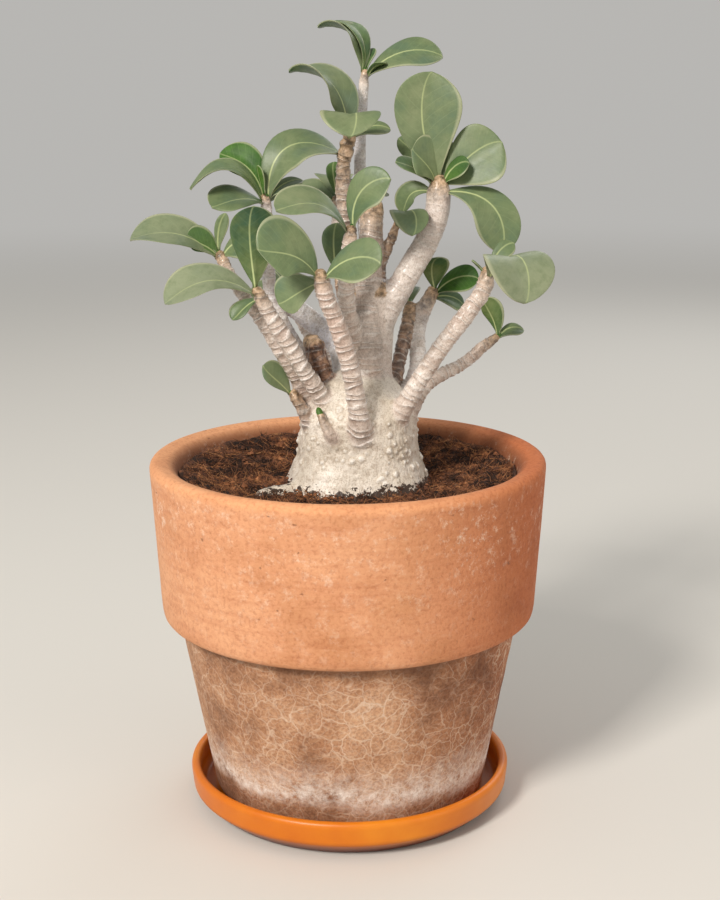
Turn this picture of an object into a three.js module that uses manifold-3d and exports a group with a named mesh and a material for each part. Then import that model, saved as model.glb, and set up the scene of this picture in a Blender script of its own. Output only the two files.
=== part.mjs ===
// A desert rose in a clay pot on a saucer. Millimetres, +Z up.
// The origin is the centre of the saucer's underside, and the camera side of the plant faces -Y.

import * as THREE from 'three';
import { mergeVertices } from 'three/addons/utils/BufferGeometryUtils.js';
import Module from 'manifold-3d';

const wasm = await Module();
wasm.setup();

// Driving dimensions of the saucer and the pot.
const CLEARANCE = 0.3;
const SAUCER_RADIUS = 62.6;
const SAUCER_HEIGHT = 15.1;
const SAUCER_FOOT_RADIUS = 55;
const SAUCER_FLOOR = 5;
const SAUCER_WALL = 3.6;
const RIM_RADIUS = 75;
const RIM_WALL = 10.9;
const RIM_HEIGHT = 136.3;
const RIM_ROUNDING = 2.8;
const RIM_DEPTH = 7.3;
const RIM_TILT = 1.15;
const COLLAR_BOTTOM = 75;
const COLLAR_RADIUS = 71.7;
const BODY_TOP_RADIUS = 65.4;
const FOOT_RADIUS = 53;
const POT_FLOOR = 9;
const FLOOR_RADIUS = 46;
const DRAIN_RADIUS = 9;
const ROUND_SEGMENTS = 48;

// The soil is a little higher against the pot than round the plant, and most of all behind it.
const SOIL_MIDDLE = 125;
const SOIL_EDGE = 130.5;
const SOIL_LEAN = 2.2;
const SOIL_CRUMBS = 0.6;

// The caudex: centre, and radius at each height from the root tip to the crown.
const CAUDEX_X = 3.5;
const CAUDEX_Y = -4;
const CAUDEX_PROFILE = [
  [7, 86], [13, 93], [18.5, 102], [23, 112], [26.6, 119], [28.2, 125], [25.5, 131],
  [23, 138], [22, 146], [21.2, 153], [18, 160], [12.5, 166],
];
const WART_COUNT = 14;

// Leaf scars ring the bark, and every rosette grows from a green shoot this long.
const RING_PITCH = 8;
const RING_RELIEF = 0.045;
const SHOOT_LENGTH = 6;
const FOOT_FLARE = 0.35;
const FLARE_LENGTH = 8;
const BLADE_THICKNESS = 0.9;
const EDGE_THICKNESS = 0.6;
const FOLD = THREE.MathUtils.degToRad(8);

// Each branch: radius where it leaves the wood, radius at its end, and the points it grows through.
const BRANCHES = {
  far_left: [3.0, 2.2, [-9, -4, 149], [-17, -15, 165.5], [-24, -21, 179], [-29.5, -23, 189],
    [-36, -22, 198], [-44, -11, 208.5], [-47, -8, 214]],
  left: [3.4, 2.6, [-3, -9, 147], [-8.8, -17, 160.6], [-15.8, -23, 173], [-20.5, -26, 182.5],
    [-27, -28, 193], [-32, -30, 203]],
  upper_left: [3.4, 2.2, [-8, -4, 155], [-17, 1, 173], [-24, 4, 185], [-28.8, 6, 197], [-29.2, 7, 216],
    [-30, 6, 234]],
  cut_left: [4.4, 4.0, [2, -2, 155], [-0.7, 3, 167.7], [-4, 8, 177], [-13, 10, 185.2], [-22, 10, 192.5]],
  broken: [3.8, 3.8, [-6, -7, 157], [-9, -8.5, 167], [-12.2, -6.5, 178.5]],
  sprout: [2.6, 1.9, [-9, -11, 144], [-13.4, -15, 150.4], [-16.5, -18, 157], [-21, -18, 164]],
  front: [3.7, 3.0, [5, -18, 144], [4.8, -25, 151], [3.4, -27.5, 162], [1.3, -31, 174], [-2.4, -36, 188],
    [-7, -41, 201], [-9, -44, 210]],
  trunk: [9.6, 7.6, [7.5, -2, 148], [8, 0, 172], [8.2, 1, 195]],
  centre: [4.0, 2.6, [5, 0, 168], [1.8, -9, 183], [0, -15, 195], [0, -19, 206], [2, -22, 224]],
  inner: [2.0, 1.5, [0, -11, 188], [-2, -8, 198], [-4, -6, 206]],
  stump: [4.0, 4.4, [8.6, -6, 160], [8.2, -8, 171.5], [7.4, -5, 188], [7.6, -2, 199], [9.6, 4, 227.8]],
  crown: [3.2, 2.7, [6, 4, 190], [0.4, 8, 212], [-1, 9, 229], [-1.2, 8.5, 243], [2, 4, 257]],
  top: [3.0, 1.9, [8, 6, 190], [7, 13, 216], [5.1, 15, 240], [5.2, 16, 253], [7, 16, 279]],
  right_high: [4.8, 4.5, [9, 0, 176], [12.5, 0, 186], [17.6, 0.5, 195.5], [25, 1.5, 208.5],
    [29.5, 2, 216], [33.3, 2, 227], [34, 2, 239]],
  side: [2.2, 1.6, [11, 2, 196], [13, 4, 208], [17, 4, 218], [20, 2, 226]],
  right: [3.6, 3.1, [15, -9, 147], [18.6, -16, 153.5], [25.6, -18, 166.4], [35, -18, 180.7],
    [44.8, -18, 193.7], [49, -18, 200.5], [51, -18, 209]],
  back_right: [2.9, 3.1, [18, 4, 152], [24.6, 8, 161], [27, 14, 169], [27.3, 20, 181], [30, 23, 189],
    [34, 24, 197]],
  right_low: [2.8, 2.2, [19, -7, 148], [24, -8, 155.5], [28.7, -6, 162.5], [34, -3, 166.3],
    [44, 3, 170.5], [51, 5, 176], [58, 6, 181]],
  dark: [2.8, 2.2, [14, 6, 155], [18.4, 9, 166], [22.2, 17, 181], [24.6, 24, 192]],
  back_high: [3.8, 2.6, [5, 6, 178], [0, 18, 200], [-3, 28, 218], [-4, 34, 232]],
  back_low: [3.6, 2.5, [-2, 6, 160], [-10, 18, 172], [-18, 28, 184], [-24, 34, 196]],
  bud: [1.9, 1.3, [-4, -20, 146], [-6, -25.5, 148.5], [-8.2, -25.5, 152.5], [-9.8, -24, 156.5]],
  root: [5.0, 2.4, [-8, -9, 121], [-18, -16, 125], [-25, -21, 126.2], [-31, -26, 126]],
};

// Each leaf: turn round Z, rise, length, width, arch as a share of the length, roll, twist.
// Turn 0 points along +X and 90 along +Y. Angles are in degrees.
const ROSETTES = {
  far_left: [[-170, 12, 32, 20, 0.19, -54, 40], [-168, 33, 13, 11, 0.12, -60, 0],
             [10, 77, 14, 5, 0.05, 80, 0], [-20, 22, 12, 11, 0.1, 60, 0]],
  left: [[-172, -4, 32, 19, 0.23, -30, 0], [-85, 79, 29, 17, 0.06, 0, 0],
         [-160, -36, 12, 7, 0.1, -40, 0]],
  upper_left: [[5, 32, 31, 21, 0.33, 78, -65], [158, 42, 24, 14, 0.2, -50, 0],
               [-160, 10, 28, 16, 0.36, -50, 60], [-150, -3, 21, 17, 0.12, -30, 0],
               [-138, 74, 11, 4, 0, 0, 0], [78, 79, 11, 4, 0, 0, 0], [30, 25, 16, 8, 0.1, 20, 0],
               [45, 9, 13, 7, 0.1, 20, 0]],
  sprout: [[-165, 48, 15, 10, 0.05, -60, 0]],
  front: [[-154, 25, 24, 23, 0.18, -60, 0], [-30, 14, 22.5, 18, 0.12, 55, 0],
          [160, -27, 17, 15, 0.06, -70, 0]],
  centre: [[-160, 17, 27.5, 19, 0.24, -30, 0], [-18, 51, 22, 15, 0.2, 70, 0]],
  inner: [[80, 80, 18, 11, 0.03, 0, 0]],
  crown: [[-165, 45, 31, 23, 0.27, -95, 110], [-88, 1, 19, 22, 0.42, 0, 0], [7, 9, 14, 8, 0.12, 40, 0]],
  top: [[0, 13, 29, 17, 0.14, 40, 0], [-169, 44, 23.5, 16, 0.31, -80, 95],
        [150, 53, 23, 11, 0.3, -5, 0], [60, 56, 10, 6, 0.1, 0, 0], [-26, 26, 9, 7, 0.1, 0, 0]],
  right_high: [[0, 94, 38, 25, 0.065, 84, 0], [-5, 35, 26, 24, 0.03, 72, 0],
               [-150, 50, 16, 18, 0.12, -72, 0], [-165, 30, 17, 9, 0.1, -40, 0],
               [-30, 36, 13, 9, 0.1, 62, 0], [145, 45, 23, 10, 0.1, -50, 0],
               [55, 62, 16, 12, 0.08, 40, 0], [164, -34, 14, 10, 0.35, -60, 0],
               [-15, -45, 31, 18, 0.26, 30, 40]],
  side: [[-70, -12, 15, 15, 0.45, 0, 0]],
  right: [[-62, -17, 24, 28, 0.5, 0, 0], [20, 45, 13, 7, 0.1, 50, 0], [180, 40, 6, 3, 0, 0, 0]],
  back_right: [[-80, 66, 14, 11, 0.1, 0, 0], [-15, 19, 18, 13, 0.12, 50, 0],
               [10, -20, 13, 10, 0.1, 40, 0]],
  right_low: [[11, 14, 11, 7, 0.15, 35, 0], [170, 68, 15, 9, 0.1, 70, 0]],
  dark: [[125, 0, 18, 12, 0.2, -10, 0], [95, 20, 16, 11, 0.2, 10, 0]],
  back_high: [[150, 5, 24, 15, 0.2, -20, 0], [95, 15, 27, 16, 0.2, 0, 0], [40, 5, 24, 15, 0.2, 20, 0],
              [100, 70, 14, 8, 0.1, 0, 0]],
  back_low: [[165, -5, 16, 11, 0.2, -40, 0], [120, 10, 26, 15, 0.25, -10, 0],
             [70, 5, 24, 15, 0.2, 10, 0], [140, 70, 12, 7, 0.1, 0, 0]],
};

const COLOURS = {
  saucer: '#D77323', pot: '#C98559', soil: '#3B2A20', bark: '#CFC3B0', leaf: '#86966C', young: '#6E9440',
};

// Turns a geometry into a closed indexed one, without doubled points or empty triangles.
function welded(geometry) {
  geometry.deleteAttribute('normal');
  geometry.deleteAttribute('uv');
  const merged = mergeVertices(geometry, 1e-4);
  const kept = [];
  const index = merged.index.array;
  for (let i = 0; i < index.length; i += 3) {
    const [a, b, c] = [index[i], index[i + 1], index[i + 2]];
    if (a !== b && b !== c && c !== a) kept.push(a, b, c);
  }
  merged.setIndex(kept);
  return merged;
}

// The signed volume tells which way the faces point; they are turned outwards.
function facingOut(geometry) {
  const position = geometry.attributes.position;
  const index = Array.from(geometry.index.array);
  const [a, b, c] = [new THREE.Vector3(), new THREE.Vector3(), new THREE.Vector3()];
  let volume = 0;
  for (let i = 0; i < index.length; i += 3) {
    a.fromBufferAttribute(position, index[i]);
    b.fromBufferAttribute(position, index[i + 1]);
    c.fromBufferAttribute(position, index[i + 2]);
    volume += a.dot(b.cross(c));
  }
  if (volume < 0) {
    for (let i = 0; i < index.length; i += 3) [index[i], index[i + 1]] = [index[i + 1], index[i]];
    geometry.setIndex(index);
  }
  return geometry;
}

function solid(geometry) {
  const ready = facingOut(geometry);
  return new wasm.Manifold(new wasm.Mesh({
    numProp: 3,
    vertProperties: new Float32Array(ready.attributes.position.array),
    triVerts: new Uint32Array(ready.index.array),
  }));
}

function mesh(name, shape, colour, roughness) {
  const data = shape.getMesh();
  const geometry = new THREE.BufferGeometry();
  geometry.setAttribute('position', new THREE.BufferAttribute(new Float32Array(data.vertProperties), 3));
  geometry.setIndex(new THREE.BufferAttribute(new Uint32Array(data.triVerts), 1));
  geometry.computeVertexNormals();
  const material = new THREE.MeshStandardMaterial({ color: colour, roughness, metalness: 0 });
  const piece = new THREE.Mesh(geometry, material);
  piece.name = name;
  return piece;
}

// A [radius, height] profile turned round Z.
function turned(profile, segments) {
  const lathe = new THREE.LatheGeometry(profile.map(([r, z]) => new THREE.Vector2(r, z)), segments);
  lathe.rotateX(Math.PI / 2);
  return solid(welded(lathe));
}

// Joins rings of equal count into a closed skin, with a fan over each end.
function lofted(rings) {
  const sides = rings[0].length;
  const points = rings.flat();
  const index = [];
  for (let i = 0; i + 1 < rings.length; i += 1) {
    for (let j = 0; j < sides; j += 1) {
      const a = i * sides + j;
      const b = i * sides + ((j + 1) % sides);
      index.push(a, b, b + sides, a, b + sides, a + sides);
    }
  }
  for (const [ring, first] of [[rings[0], 0], [rings.at(-1), (rings.length - 1) * sides]]) {
    const middle = ring.reduce((sum, p) => sum.add(p), new THREE.Vector3()).divideScalar(sides);
    const centre = points.push(middle) - 1;
    for (let j = 0; j < sides; j += 1) {
      const a = first + j;
      const b = first + ((j + 1) % sides);
      index.push(...(first === 0 ? [centre, b, a] : [centre, a, b]));
    }
  }
  const geometry = new THREE.BufferGeometry().setFromPoints(points);
  geometry.setIndex(index);
  return solid(geometry);
}

// Points from angle a to angle b on an arc about [r, z].
function arc(r, z, radius, a, b, steps) {
  return Array.from({ length: steps + 1 }, (unused, i) => {
    const angle = THREE.MathUtils.degToRad(a + (b - a) * i / steps);
    return [r + radius * Math.cos(angle), z + radius * Math.sin(angle)];
  });
}

function saucer() {
  const lip = SAUCER_WALL / 2;
  const inside = SAUCER_RADIUS - SAUCER_WALL;
  return turned([
    [0, 0],
    [SAUCER_FOOT_RADIUS, 0],
    [SAUCER_RADIUS - 0.8, 6],
    ...arc(SAUCER_RADIUS - lip, SAUCER_HEIGHT - lip, lip, 0, 180, 5),
    [inside, SAUCER_FLOOR + 2.2],
    [inside - 2, SAUCER_FLOOR],
    [0, SAUCER_FLOOR],
  ], ROUND_SEGMENTS);
}

const POT_BASE = SAUCER_FLOOR + CLEARANCE;
const SOIL_BASE = POT_BASE + POT_FLOOR + CLEARANCE;
const INNER_RIM_RADIUS = RIM_RADIUS - RIM_WALL;

// The pot's inside is a straight taper from the floor to just under the rim.
function innerRadius(z) {
  const share = (z - POT_BASE - POT_FLOOR) / (RIM_HEIGHT - RIM_DEPTH - POT_BASE - POT_FLOOR);
  return FLOOR_RADIUS + (INNER_RIM_RADIUS - FLOOR_RADIUS) * share;
}

// Hand-finished, the rim stands a little higher at the back than at the front.
function pot() {
  const crest = RIM_RADIUS - RIM_ROUNDING;
  return turned([
    [DRAIN_RADIUS, POT_BASE],
    [FOOT_RADIUS - 1.6, POT_BASE],
    [FOOT_RADIUS, POT_BASE + 2.2],
    [BODY_TOP_RADIUS, COLLAR_BOTTOM],
    [COLLAR_RADIUS - 2.6, COLLAR_BOTTOM],
    [COLLAR_RADIUS - 0.6, COLLAR_BOTTOM + 1.6],
    [COLLAR_RADIUS, COLLAR_BOTTOM + 4.8],
    ...arc(crest, RIM_HEIGHT - RIM_ROUNDING, RIM_ROUNDING, 0, 90, 3),
    [crest - 3.7, RIM_HEIGHT - 1],
    [crest - 6, RIM_HEIGHT - 2.4],
    [crest - 7.4, RIM_HEIGHT - 4.5],
    [INNER_RIM_RADIUS, RIM_HEIGHT - RIM_DEPTH],
    [FLOOR_RADIUS, POT_BASE + POT_FLOOR],
    [DRAIN_RADIUS, POT_BASE + POT_FLOOR],
    [DRAIN_RADIUS, POT_BASE],
  ], ROUND_SEGMENTS).warp((point) => {
    const share = (point[2] - COLLAR_BOTTOM) / (RIM_HEIGHT - COLLAR_BOTTOM);
    point[2] += RIM_TILT * point[1] / RIM_RADIUS * Math.max(0, share);
  });
}

// The coir rises to the wall and is crumbly: two crossed waves, a few tenths of a millimetre to 1 mm high.
function soilHeight(r, angle) {
  const rise = (SOIL_EDGE - SOIL_MIDDLE + SOIL_LEAN * Math.sin(angle)) * (r / INNER_RIM_RADIUS) ** 3;
  return SOIL_MIDDLE + rise + SOIL_CRUMBS * Math.sin(r * 0.61 + 4 * angle) * Math.cos(7 * angle - r * 0.37);
}

function soil() {
  const sides = 40;
  const radii = [5, 18, 30, 41, 50, 57];
  const edge = innerRadius(SOIL_EDGE - SOIL_LEAN - SOIL_CRUMBS) - CLEARANCE;
  const ring = (r, height) => Array.from({ length: sides }, (unused, j) => {
    const angle = 2 * Math.PI * j / sides;
    return new THREE.Vector3(r * Math.cos(angle), r * Math.sin(angle), height(r, angle));
  });
  return lofted([
    ring(innerRadius(SOIL_BASE) - CLEARANCE, () => SOIL_BASE),
    ring(edge, soilHeight),
    ...radii.toReversed().map((r) => ring(r, soilHeight)),
  ]);
}

function caudex(grow) {
  const sides = 24;
  return lofted(CAUDEX_PROFILE.map(([radius, z]) => Array.from({ length: sides }, (unused, j) => {
    const angle = 2 * Math.PI * j / sides;
    const lobes = 1 + 0.035 * Math.cos(3 * angle + 1) + 0.025 * Math.cos(5 * angle + z / 30);
    const r = radius * lobes + grow;
    return new THREE.Vector3(CAUDEX_X + r * Math.cos(angle), CAUDEX_Y + r * Math.sin(angle), z);
  })));
}

// Warts stand round the caudex by the golden angle.
function warts() {
  return Array.from({ length: WART_COUNT }, (unused, i) => {
    const angle = i * 2.4;
    const share = (i * 0.618) % 1;
    const z = 129 + 22 * share;
    const r = 24.6 - 3.4 * share;
    const wart = new THREE.IcosahedronGeometry(1.2 + 0.5 * ((i * 0.37) % 1), 0);
    wart.translate(CAUDEX_X + r * Math.cos(angle), CAUDEX_Y + r * Math.sin(angle), z);
    return solid(welded(wart));
  });
}

function pathOf(name) {
  const points = BRANCHES[name].slice(2).map((p) => new THREE.Vector3(...p));
  const curve = new THREE.CatmullRomCurve3(points, false, 'centripetal');
  curve.arcLengthDivisions = 400;
  return curve;
}

// A round bar along a curve from share a to share b of its length, with a radius for each share.
function bar(curve, a, b, steps, sides, radius) {
  const rings = [];
  const side = new THREE.Vector3();
  const up = new THREE.Vector3(0.3, 1, 0.2);
  for (let i = 0; i <= steps; i += 1) {
    const share = a + (b - a) * i / steps;
    const centre = curve.getPointAt(Math.min(share, 1));
    const along = curve.getTangentAt(Math.min(share, 1));
    if (share > 1) centre.addScaledVector(along, (share - 1) * curve.getLength());
    side.crossVectors(along, up).normalize();
    up.crossVectors(side, along).normalize();
    const r = radius(share, i);
    rings.push(Array.from({ length: sides }, (unused, j) => {
      const angle = 2 * Math.PI * j / sides;
      return centre.clone()
        .addScaledVector(side, r * Math.cos(angle))
        .addScaledVector(up, r * Math.sin(angle));
    }));
  }
  return lofted(rings);
}

// A woody branch: it tapers, flares where it leaves the wood, and steps out at every leaf scar.
function branch(name, grow) {
  const [baseRadius, endRadius] = BRANCHES[name];
  const curve = pathOf(name);
  const length = curve.getLength();
  const woody = (name in ROSETTES ? length - SHOOT_LENGTH : length) + grow;
  const steps = 2 * Math.max(2, Math.round(woody / RING_PITCH));
  const sides = baseRadius > 8 ? 12 : (baseRadius > 3.3 ? 8 : 6);
  return bar(curve, 0, woody / length, steps, sides, (share, i) => {
    const taper = baseRadius + (endRadius - baseRadius) * share ** 0.8;
    const flare = 1 + FOOT_FLARE * Math.exp(-share * length / FLARE_LENGTH);
    return taper * flare * (1 + (i % 2 ? RING_RELIEF : -RING_RELIEF)) + grow;
  });
}

function plant(grow) {
  const parts = Object.keys(BRANCHES).map((name) => branch(name, grow));
  if (grow === 0) parts.push(...warts());
  return parts.reduce((whole, part) => whole.add(part), caudex(grow));
}

// Where a leaf leaves its shoot: low leaves sit low on it, and each a little off its middle.
function footOf(name, turn, rise) {
  const curve = pathOf(name);
  const radius = BRANCHES[name][1];
  const height = THREE.MathUtils.clamp((THREE.MathUtils.radToDeg(rise) + 50) / 140, 0.15, 1);
  const foot = curve.getPointAt(1).addScaledVector(curve.getTangentAt(1), -SHOOT_LENGTH * (1 - height));
  const out = radius * 0.5 * Math.cos(rise);
  return foot.add(new THREE.Vector3(Math.cos(turn) * out, Math.sin(turn) * out, 0));
}

// Half the blade's width at a share of its length: wedge-shaped at the foot, widest past the middle.
function halfWidth(share, width) {
  const blade = width / 2 * share ** 0.9 * (1 - share ** 2.8) ** 0.65 / 0.54;
  return Math.max(blade, 0.8 * (1 - share ** 4), 0.45);
}

// A leaf: its midrib arches over the straight line from foot to tip, and the blade rolls and
// twists about it, with both halves folded up a little.
function leaf(name, [turnDegrees, riseDegrees, length, width, arch, roll, twist]) {
  const [turn, rise] = [turnDegrees, riseDegrees].map(THREE.MathUtils.degToRad);
  const foot = footOf(name, turn, rise);
  const along = new THREE.Vector3(
    Math.cos(rise) * Math.cos(turn), Math.cos(rise) * Math.sin(turn), Math.sin(rise));
  const level = new THREE.Vector3(Math.sin(turn), -Math.cos(turn), 0);
  const over = new THREE.Vector3().crossVectors(level, along);
  const steps = length > 20 ? 6 : 4;
  const rings = [];
  for (let i = 0; i <= steps; i += 1) {
    const share = Math.sin(Math.PI / 2 * i / steps);
    const tangent = along.clone().addScaledVector(over, arch * 4 * (1 - 2 * share)).normalize();
    const angle = THREE.MathUtils.degToRad(roll + twist * share);
    const side = level.clone().applyAxisAngle(tangent, angle);
    const face = new THREE.Vector3().crossVectors(level, tangent).applyAxisAngle(tangent, angle);
    const rib = foot.clone()
      .addScaledVector(along, share * length)
      .addScaledVector(over, arch * length * 4 * share * (1 - share));
    const half = halfWidth(share, width);
    const point = (across, out) => rib.clone()
      .addScaledVector(side, across * half * Math.cos(FOLD))
      .addScaledVector(face, Math.abs(across) * half * Math.sin(FOLD) + out);
    const thick = BLADE_THICKNESS / 2;
    const thin = EDGE_THICKNESS / 2;
    rings.push([point(-1, -thin), point(0, -thick), point(1, -thin), point(1, thin), point(0, thick),
      point(-1, thin)]);
  }
  return bladeSolid(rings);
}

// The blade's skin: both faces are split along the same diagonals.
function bladeSolid(rings) {
  const sides = 6;
  const index = [];
  const quad = (a, b, c, d) => index.push(a, b, c, a, c, d);
  for (let i = 0; i + 1 < rings.length; i += 1) {
    const [low, high] = [i * sides, (i + 1) * sides];
    quad(low, low + 1, high + 1, high);
    quad(low + 1, low + 2, high + 2, high + 1);
    quad(high + 5, high + 4, low + 4, low + 5);
    quad(high + 4, high + 3, low + 3, low + 4);
    quad(low + 2, low + 3, high + 3, high + 2);
    quad(low + 5, low, high, high + 5);
  }
  const end = (rings.length - 1) * sides;
  quad(5, 4, 1, 0);
  quad(4, 3, 2, 1);
  quad(end, end + 1, end + 4, end + 5);
  quad(end + 1, end + 2, end + 3, end + 4);
  const geometry = new THREE.BufferGeometry().setFromPoints(rings.flat());
  geometry.setIndex(index);
  return solid(geometry);
}

// The green shoot at a branch's end narrows to a bud.
function shoot(name) {
  const curve = pathOf(name);
  const length = curve.getLength();
  const radius = BRANCHES[name][1] * 0.9;
  return bar(curve, 1 - SHOOT_LENGTH / length, 1 + 1.2 / length, 3, 6, (share, i) => (
    radius * [1, 0.92, 0.75, 0.35][i]));
}

// A rosette is one body: its leaves are fused to their shoot and stay clear of the wood.
function rosette(name, wood) {
  const leaves = ROSETTES[name].map((row) => leaf(name, row));
  const whole = leaves.reduce((sum, part) => sum.add(part), shoot(name));
  const pieces = whole.subtract(wood).decompose();
  return pieces.reduce((best, piece) => (piece.volume() > best.volume() ? piece : best));
}

const wood = plant(0);
const woodWithClearance = plant(CLEARANCE);
const object = new THREE.Group();
object.add(
  mesh('saucer', saucer(), COLOURS.saucer, 0.55),
  mesh('pot', pot(), COLOURS.pot, 0.9),
  mesh('soil', soil().subtract(woodWithClearance), COLOURS.soil, 1),
  mesh('caudex', wood, COLOURS.bark, 0.6),
);
for (const name of Object.keys(ROSETTES)) {
  const colour = name === 'sprout' ? COLOURS.young : COLOURS.leaf;
  object.add(mesh(`leaves_${name}`, rosette(name, woodWithClearance), colour, 0.5));
}

export default object;
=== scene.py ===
# %% [markdown]
# # A desert rose in a clay pot
#
# The real object is a small adenium: a swollen, pale caudex stands in coir, thick branches ringed by old
# leaf scars leave its top, and each ends in a rosette of fleshy leaves. It grows in a collared clay pot on
# a saucer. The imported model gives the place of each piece, so every shape below is worked out in its
# millimetres, and only the last step turns them to metres.

import bpy
import numpy as np
from mathutils import Matrix, Vector


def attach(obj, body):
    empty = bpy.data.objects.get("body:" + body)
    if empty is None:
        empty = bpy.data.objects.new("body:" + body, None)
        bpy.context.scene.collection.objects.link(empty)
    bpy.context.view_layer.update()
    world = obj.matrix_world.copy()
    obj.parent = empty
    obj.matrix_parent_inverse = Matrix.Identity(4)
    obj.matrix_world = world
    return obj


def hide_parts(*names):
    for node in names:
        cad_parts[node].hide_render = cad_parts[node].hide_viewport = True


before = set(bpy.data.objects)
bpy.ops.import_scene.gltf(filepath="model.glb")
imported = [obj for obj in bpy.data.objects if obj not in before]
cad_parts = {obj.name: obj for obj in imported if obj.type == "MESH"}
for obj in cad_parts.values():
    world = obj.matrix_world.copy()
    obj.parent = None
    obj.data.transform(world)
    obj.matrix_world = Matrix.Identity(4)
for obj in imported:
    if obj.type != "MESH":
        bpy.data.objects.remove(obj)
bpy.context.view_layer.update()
MM = 0.001

# %% [markdown]
# ## Small helpers
#
# Three things are needed again and again: colours as a painter names them (sRGB hex, which the renderer
# wants as linear light), a way to add a shader node in one line, and a way to turn arrays of points into
# an object that rides on the model's body.

# %% Colour, node and object helpers
NO_QUADS, NO_TRIANGLES = np.zeros((0, 4), int), np.zeros((0, 3), int)


def linear(hex_colour):
    """sRGB to linear light: a share c becomes ((c + 0.055) / 1.055) ** 2.4, or c / 12.92 when it is dark."""
    c = np.array([int(hex_colour[i:i + 2], 16) for i in (1, 3, 5)]) / 255
    c = np.where(c > 0.04045, ((c + 0.055) / 1.055) ** 2.4, c / 12.92)
    return (*c, 1.0)


def scale_for(mm):
    """A texture's scale for features of that size: how many fit in a metre, as a whole number."""
    return float(round(1000 / mm))


def add(tree, kind, inputs=(), stops=None, **settings):
    """Adds a shader node with its settings, its inputs (a list from the first socket on, or a dict by
    number or name) and its colour stops; returns its live output."""
    n = tree.nodes.new("ShaderNode" + kind)
    for key, value in settings.items():
        setattr(n, key, value)
    if stops:
        while len(n.color_ramp.elements) < len(stops):
            n.color_ramp.elements.new(1.0)
        for element, (place, colour) in zip(n.color_ramp.elements, stops):
            element.position = place
            element.color = linear(colour) if isinstance(colour, str) else (colour, colour, colour, 1)
    for key, value in inputs.items() if isinstance(inputs, dict) else enumerate(inputs):
        if isinstance(value, bpy.types.NodeSocket):
            tree.links.new(value, n.inputs[key])
        else:
            n.inputs[key].default_value = linear(value) if isinstance(value, str) else value
    return next((o for o in n.outputs if o.enabled), n)


def material(name, colour, roughness, ior=1.5, **sockets):
    """A material with one Principled shader; returns (material, its tree, the shader)."""
    m = bpy.data.materials.new(name)
    m.use_nodes = True
    m.diffuse_color = linear(colour)
    shader = m.node_tree.nodes["Principled BSDF"]
    shader.inputs["Base Color"].default_value = linear(colour)
    shader.inputs["Roughness"].default_value = roughness
    shader.inputs["IOR"].default_value = ior
    for key, value in sockets.items():
        shader.inputs[key.replace("_", " ")].default_value = value
    return m, m.node_tree, shader


def wire(tree, shader, **values):
    """Links live values to the shader's sockets, whose names have _ for a space here."""
    for key, value in values.items():
        tree.links.new(value, shader.inputs[key.replace("_", " ")])


print("colour and node helpers ready")


# %% Shape helpers
def sleeve(rows, columns):
    """The quads of a grid of points, row by row; the last column joins the first."""
    i, j = np.meshgrid(np.arange(rows - 1), np.arange(columns), indexing="ij")
    k = (j + 1) % columns
    low, high = i * columns, (i + 1) * columns
    return np.stack([low + j, low + k, high + k, high + j], -1).reshape(-1, 4)


def tube(rings):
    """A closed tube from an array of rings (rows, columns, 3): points, quads, and triangles that fan over
    each end from a point at its middle."""
    rows, columns, _ = rings.shape
    points = np.concatenate([rings.reshape(-1, 3), rings[:1].mean(1), rings[-1:].mean(1)])
    j = np.arange(columns)
    k = (j + 1) % columns
    top = (rows - 1) * columns
    first = np.stack([np.full(columns, rows * columns), k, j], 1)
    last = np.stack([np.full(columns, rows * columns + 1), top + j, top + k], 1)
    return points, sleeve(rows, columns), np.concatenate([first, last])


def joined(parts):
    """Several (points, quads, triangles) as one, with the face numbers moved on."""
    points, quads, triangles, start = [], [], [], 0
    for p, q, t in parts:
        points.append(p)
        quads.append(q + start)
        triangles.append(t + start)
        start += len(p)
    return np.concatenate(points), np.concatenate(quads), np.concatenate(triangles)


def piece(name, shape, finish, node=None, attributes=None, smooth=True):
    """Puts (points in mm, quads, triangles) into a mesh object that rides on the body."""
    points, quads, triangles = shape
    mesh = bpy.data.meshes.new(name)
    mesh.vertices.add(len(points))
    mesh.vertices.foreach_set("co", (points * MM).astype(np.float32).ravel())
    loops = np.concatenate([quads.ravel(), triangles.ravel()]).astype(np.int32)
    sizes = np.concatenate([np.full(len(quads), 4), np.full(len(triangles), 3)])
    mesh.loops.add(len(loops))
    mesh.loops.foreach_set("vertex_index", loops)
    mesh.polygons.add(len(sizes))
    mesh.polygons.foreach_set("loop_start", (np.cumsum(sizes) - sizes).astype(np.int32))
    mesh.update(calc_edges=True)
    mesh.validate()
    mesh.polygons.foreach_set("use_smooth", np.full(len(mesh.polygons), smooth))
    for key, values in (attributes or {}).items():
        layer = mesh.attributes.new(key, "FLOAT_VECTOR", "POINT")
        layer.data.foreach_set("vector", np.asarray(values, np.float32).ravel())
    mesh.materials.append(finish)
    obj = bpy.data.objects.new(name, mesh)
    bpy.context.scene.collection.objects.link(obj)
    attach(obj, "root")
    if node:
        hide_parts(node)
    low, high = points.min(0), points.max(0)
    print(f"{name}: {len(points)} points, {len(sizes)} faces, from {low.round(1)} to {high.round(1)} mm")


def clouds(points, size, seed):
    """Value noise from -1 to 1: random numbers on a lattice of that size in mm, blended by smooth steps."""
    lattice = np.random.default_rng(seed).uniform(-1, 1, (32, 32, 32))
    q = points / size
    whole = np.floor(q).astype(int)
    part = q - whole
    part = part * part * (3 - 2 * part)
    total = 0
    for corner in np.ndindex(2, 2, 2):
        share = np.prod(np.where(corner, part, 1 - part), axis=-1)
        x, y, z = [(whole[..., i] + corner[i]) % 32 for i in range(3)]
        total = total + share * lattice[x, y, z]
    return total


print("shape helpers ready")

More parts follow.
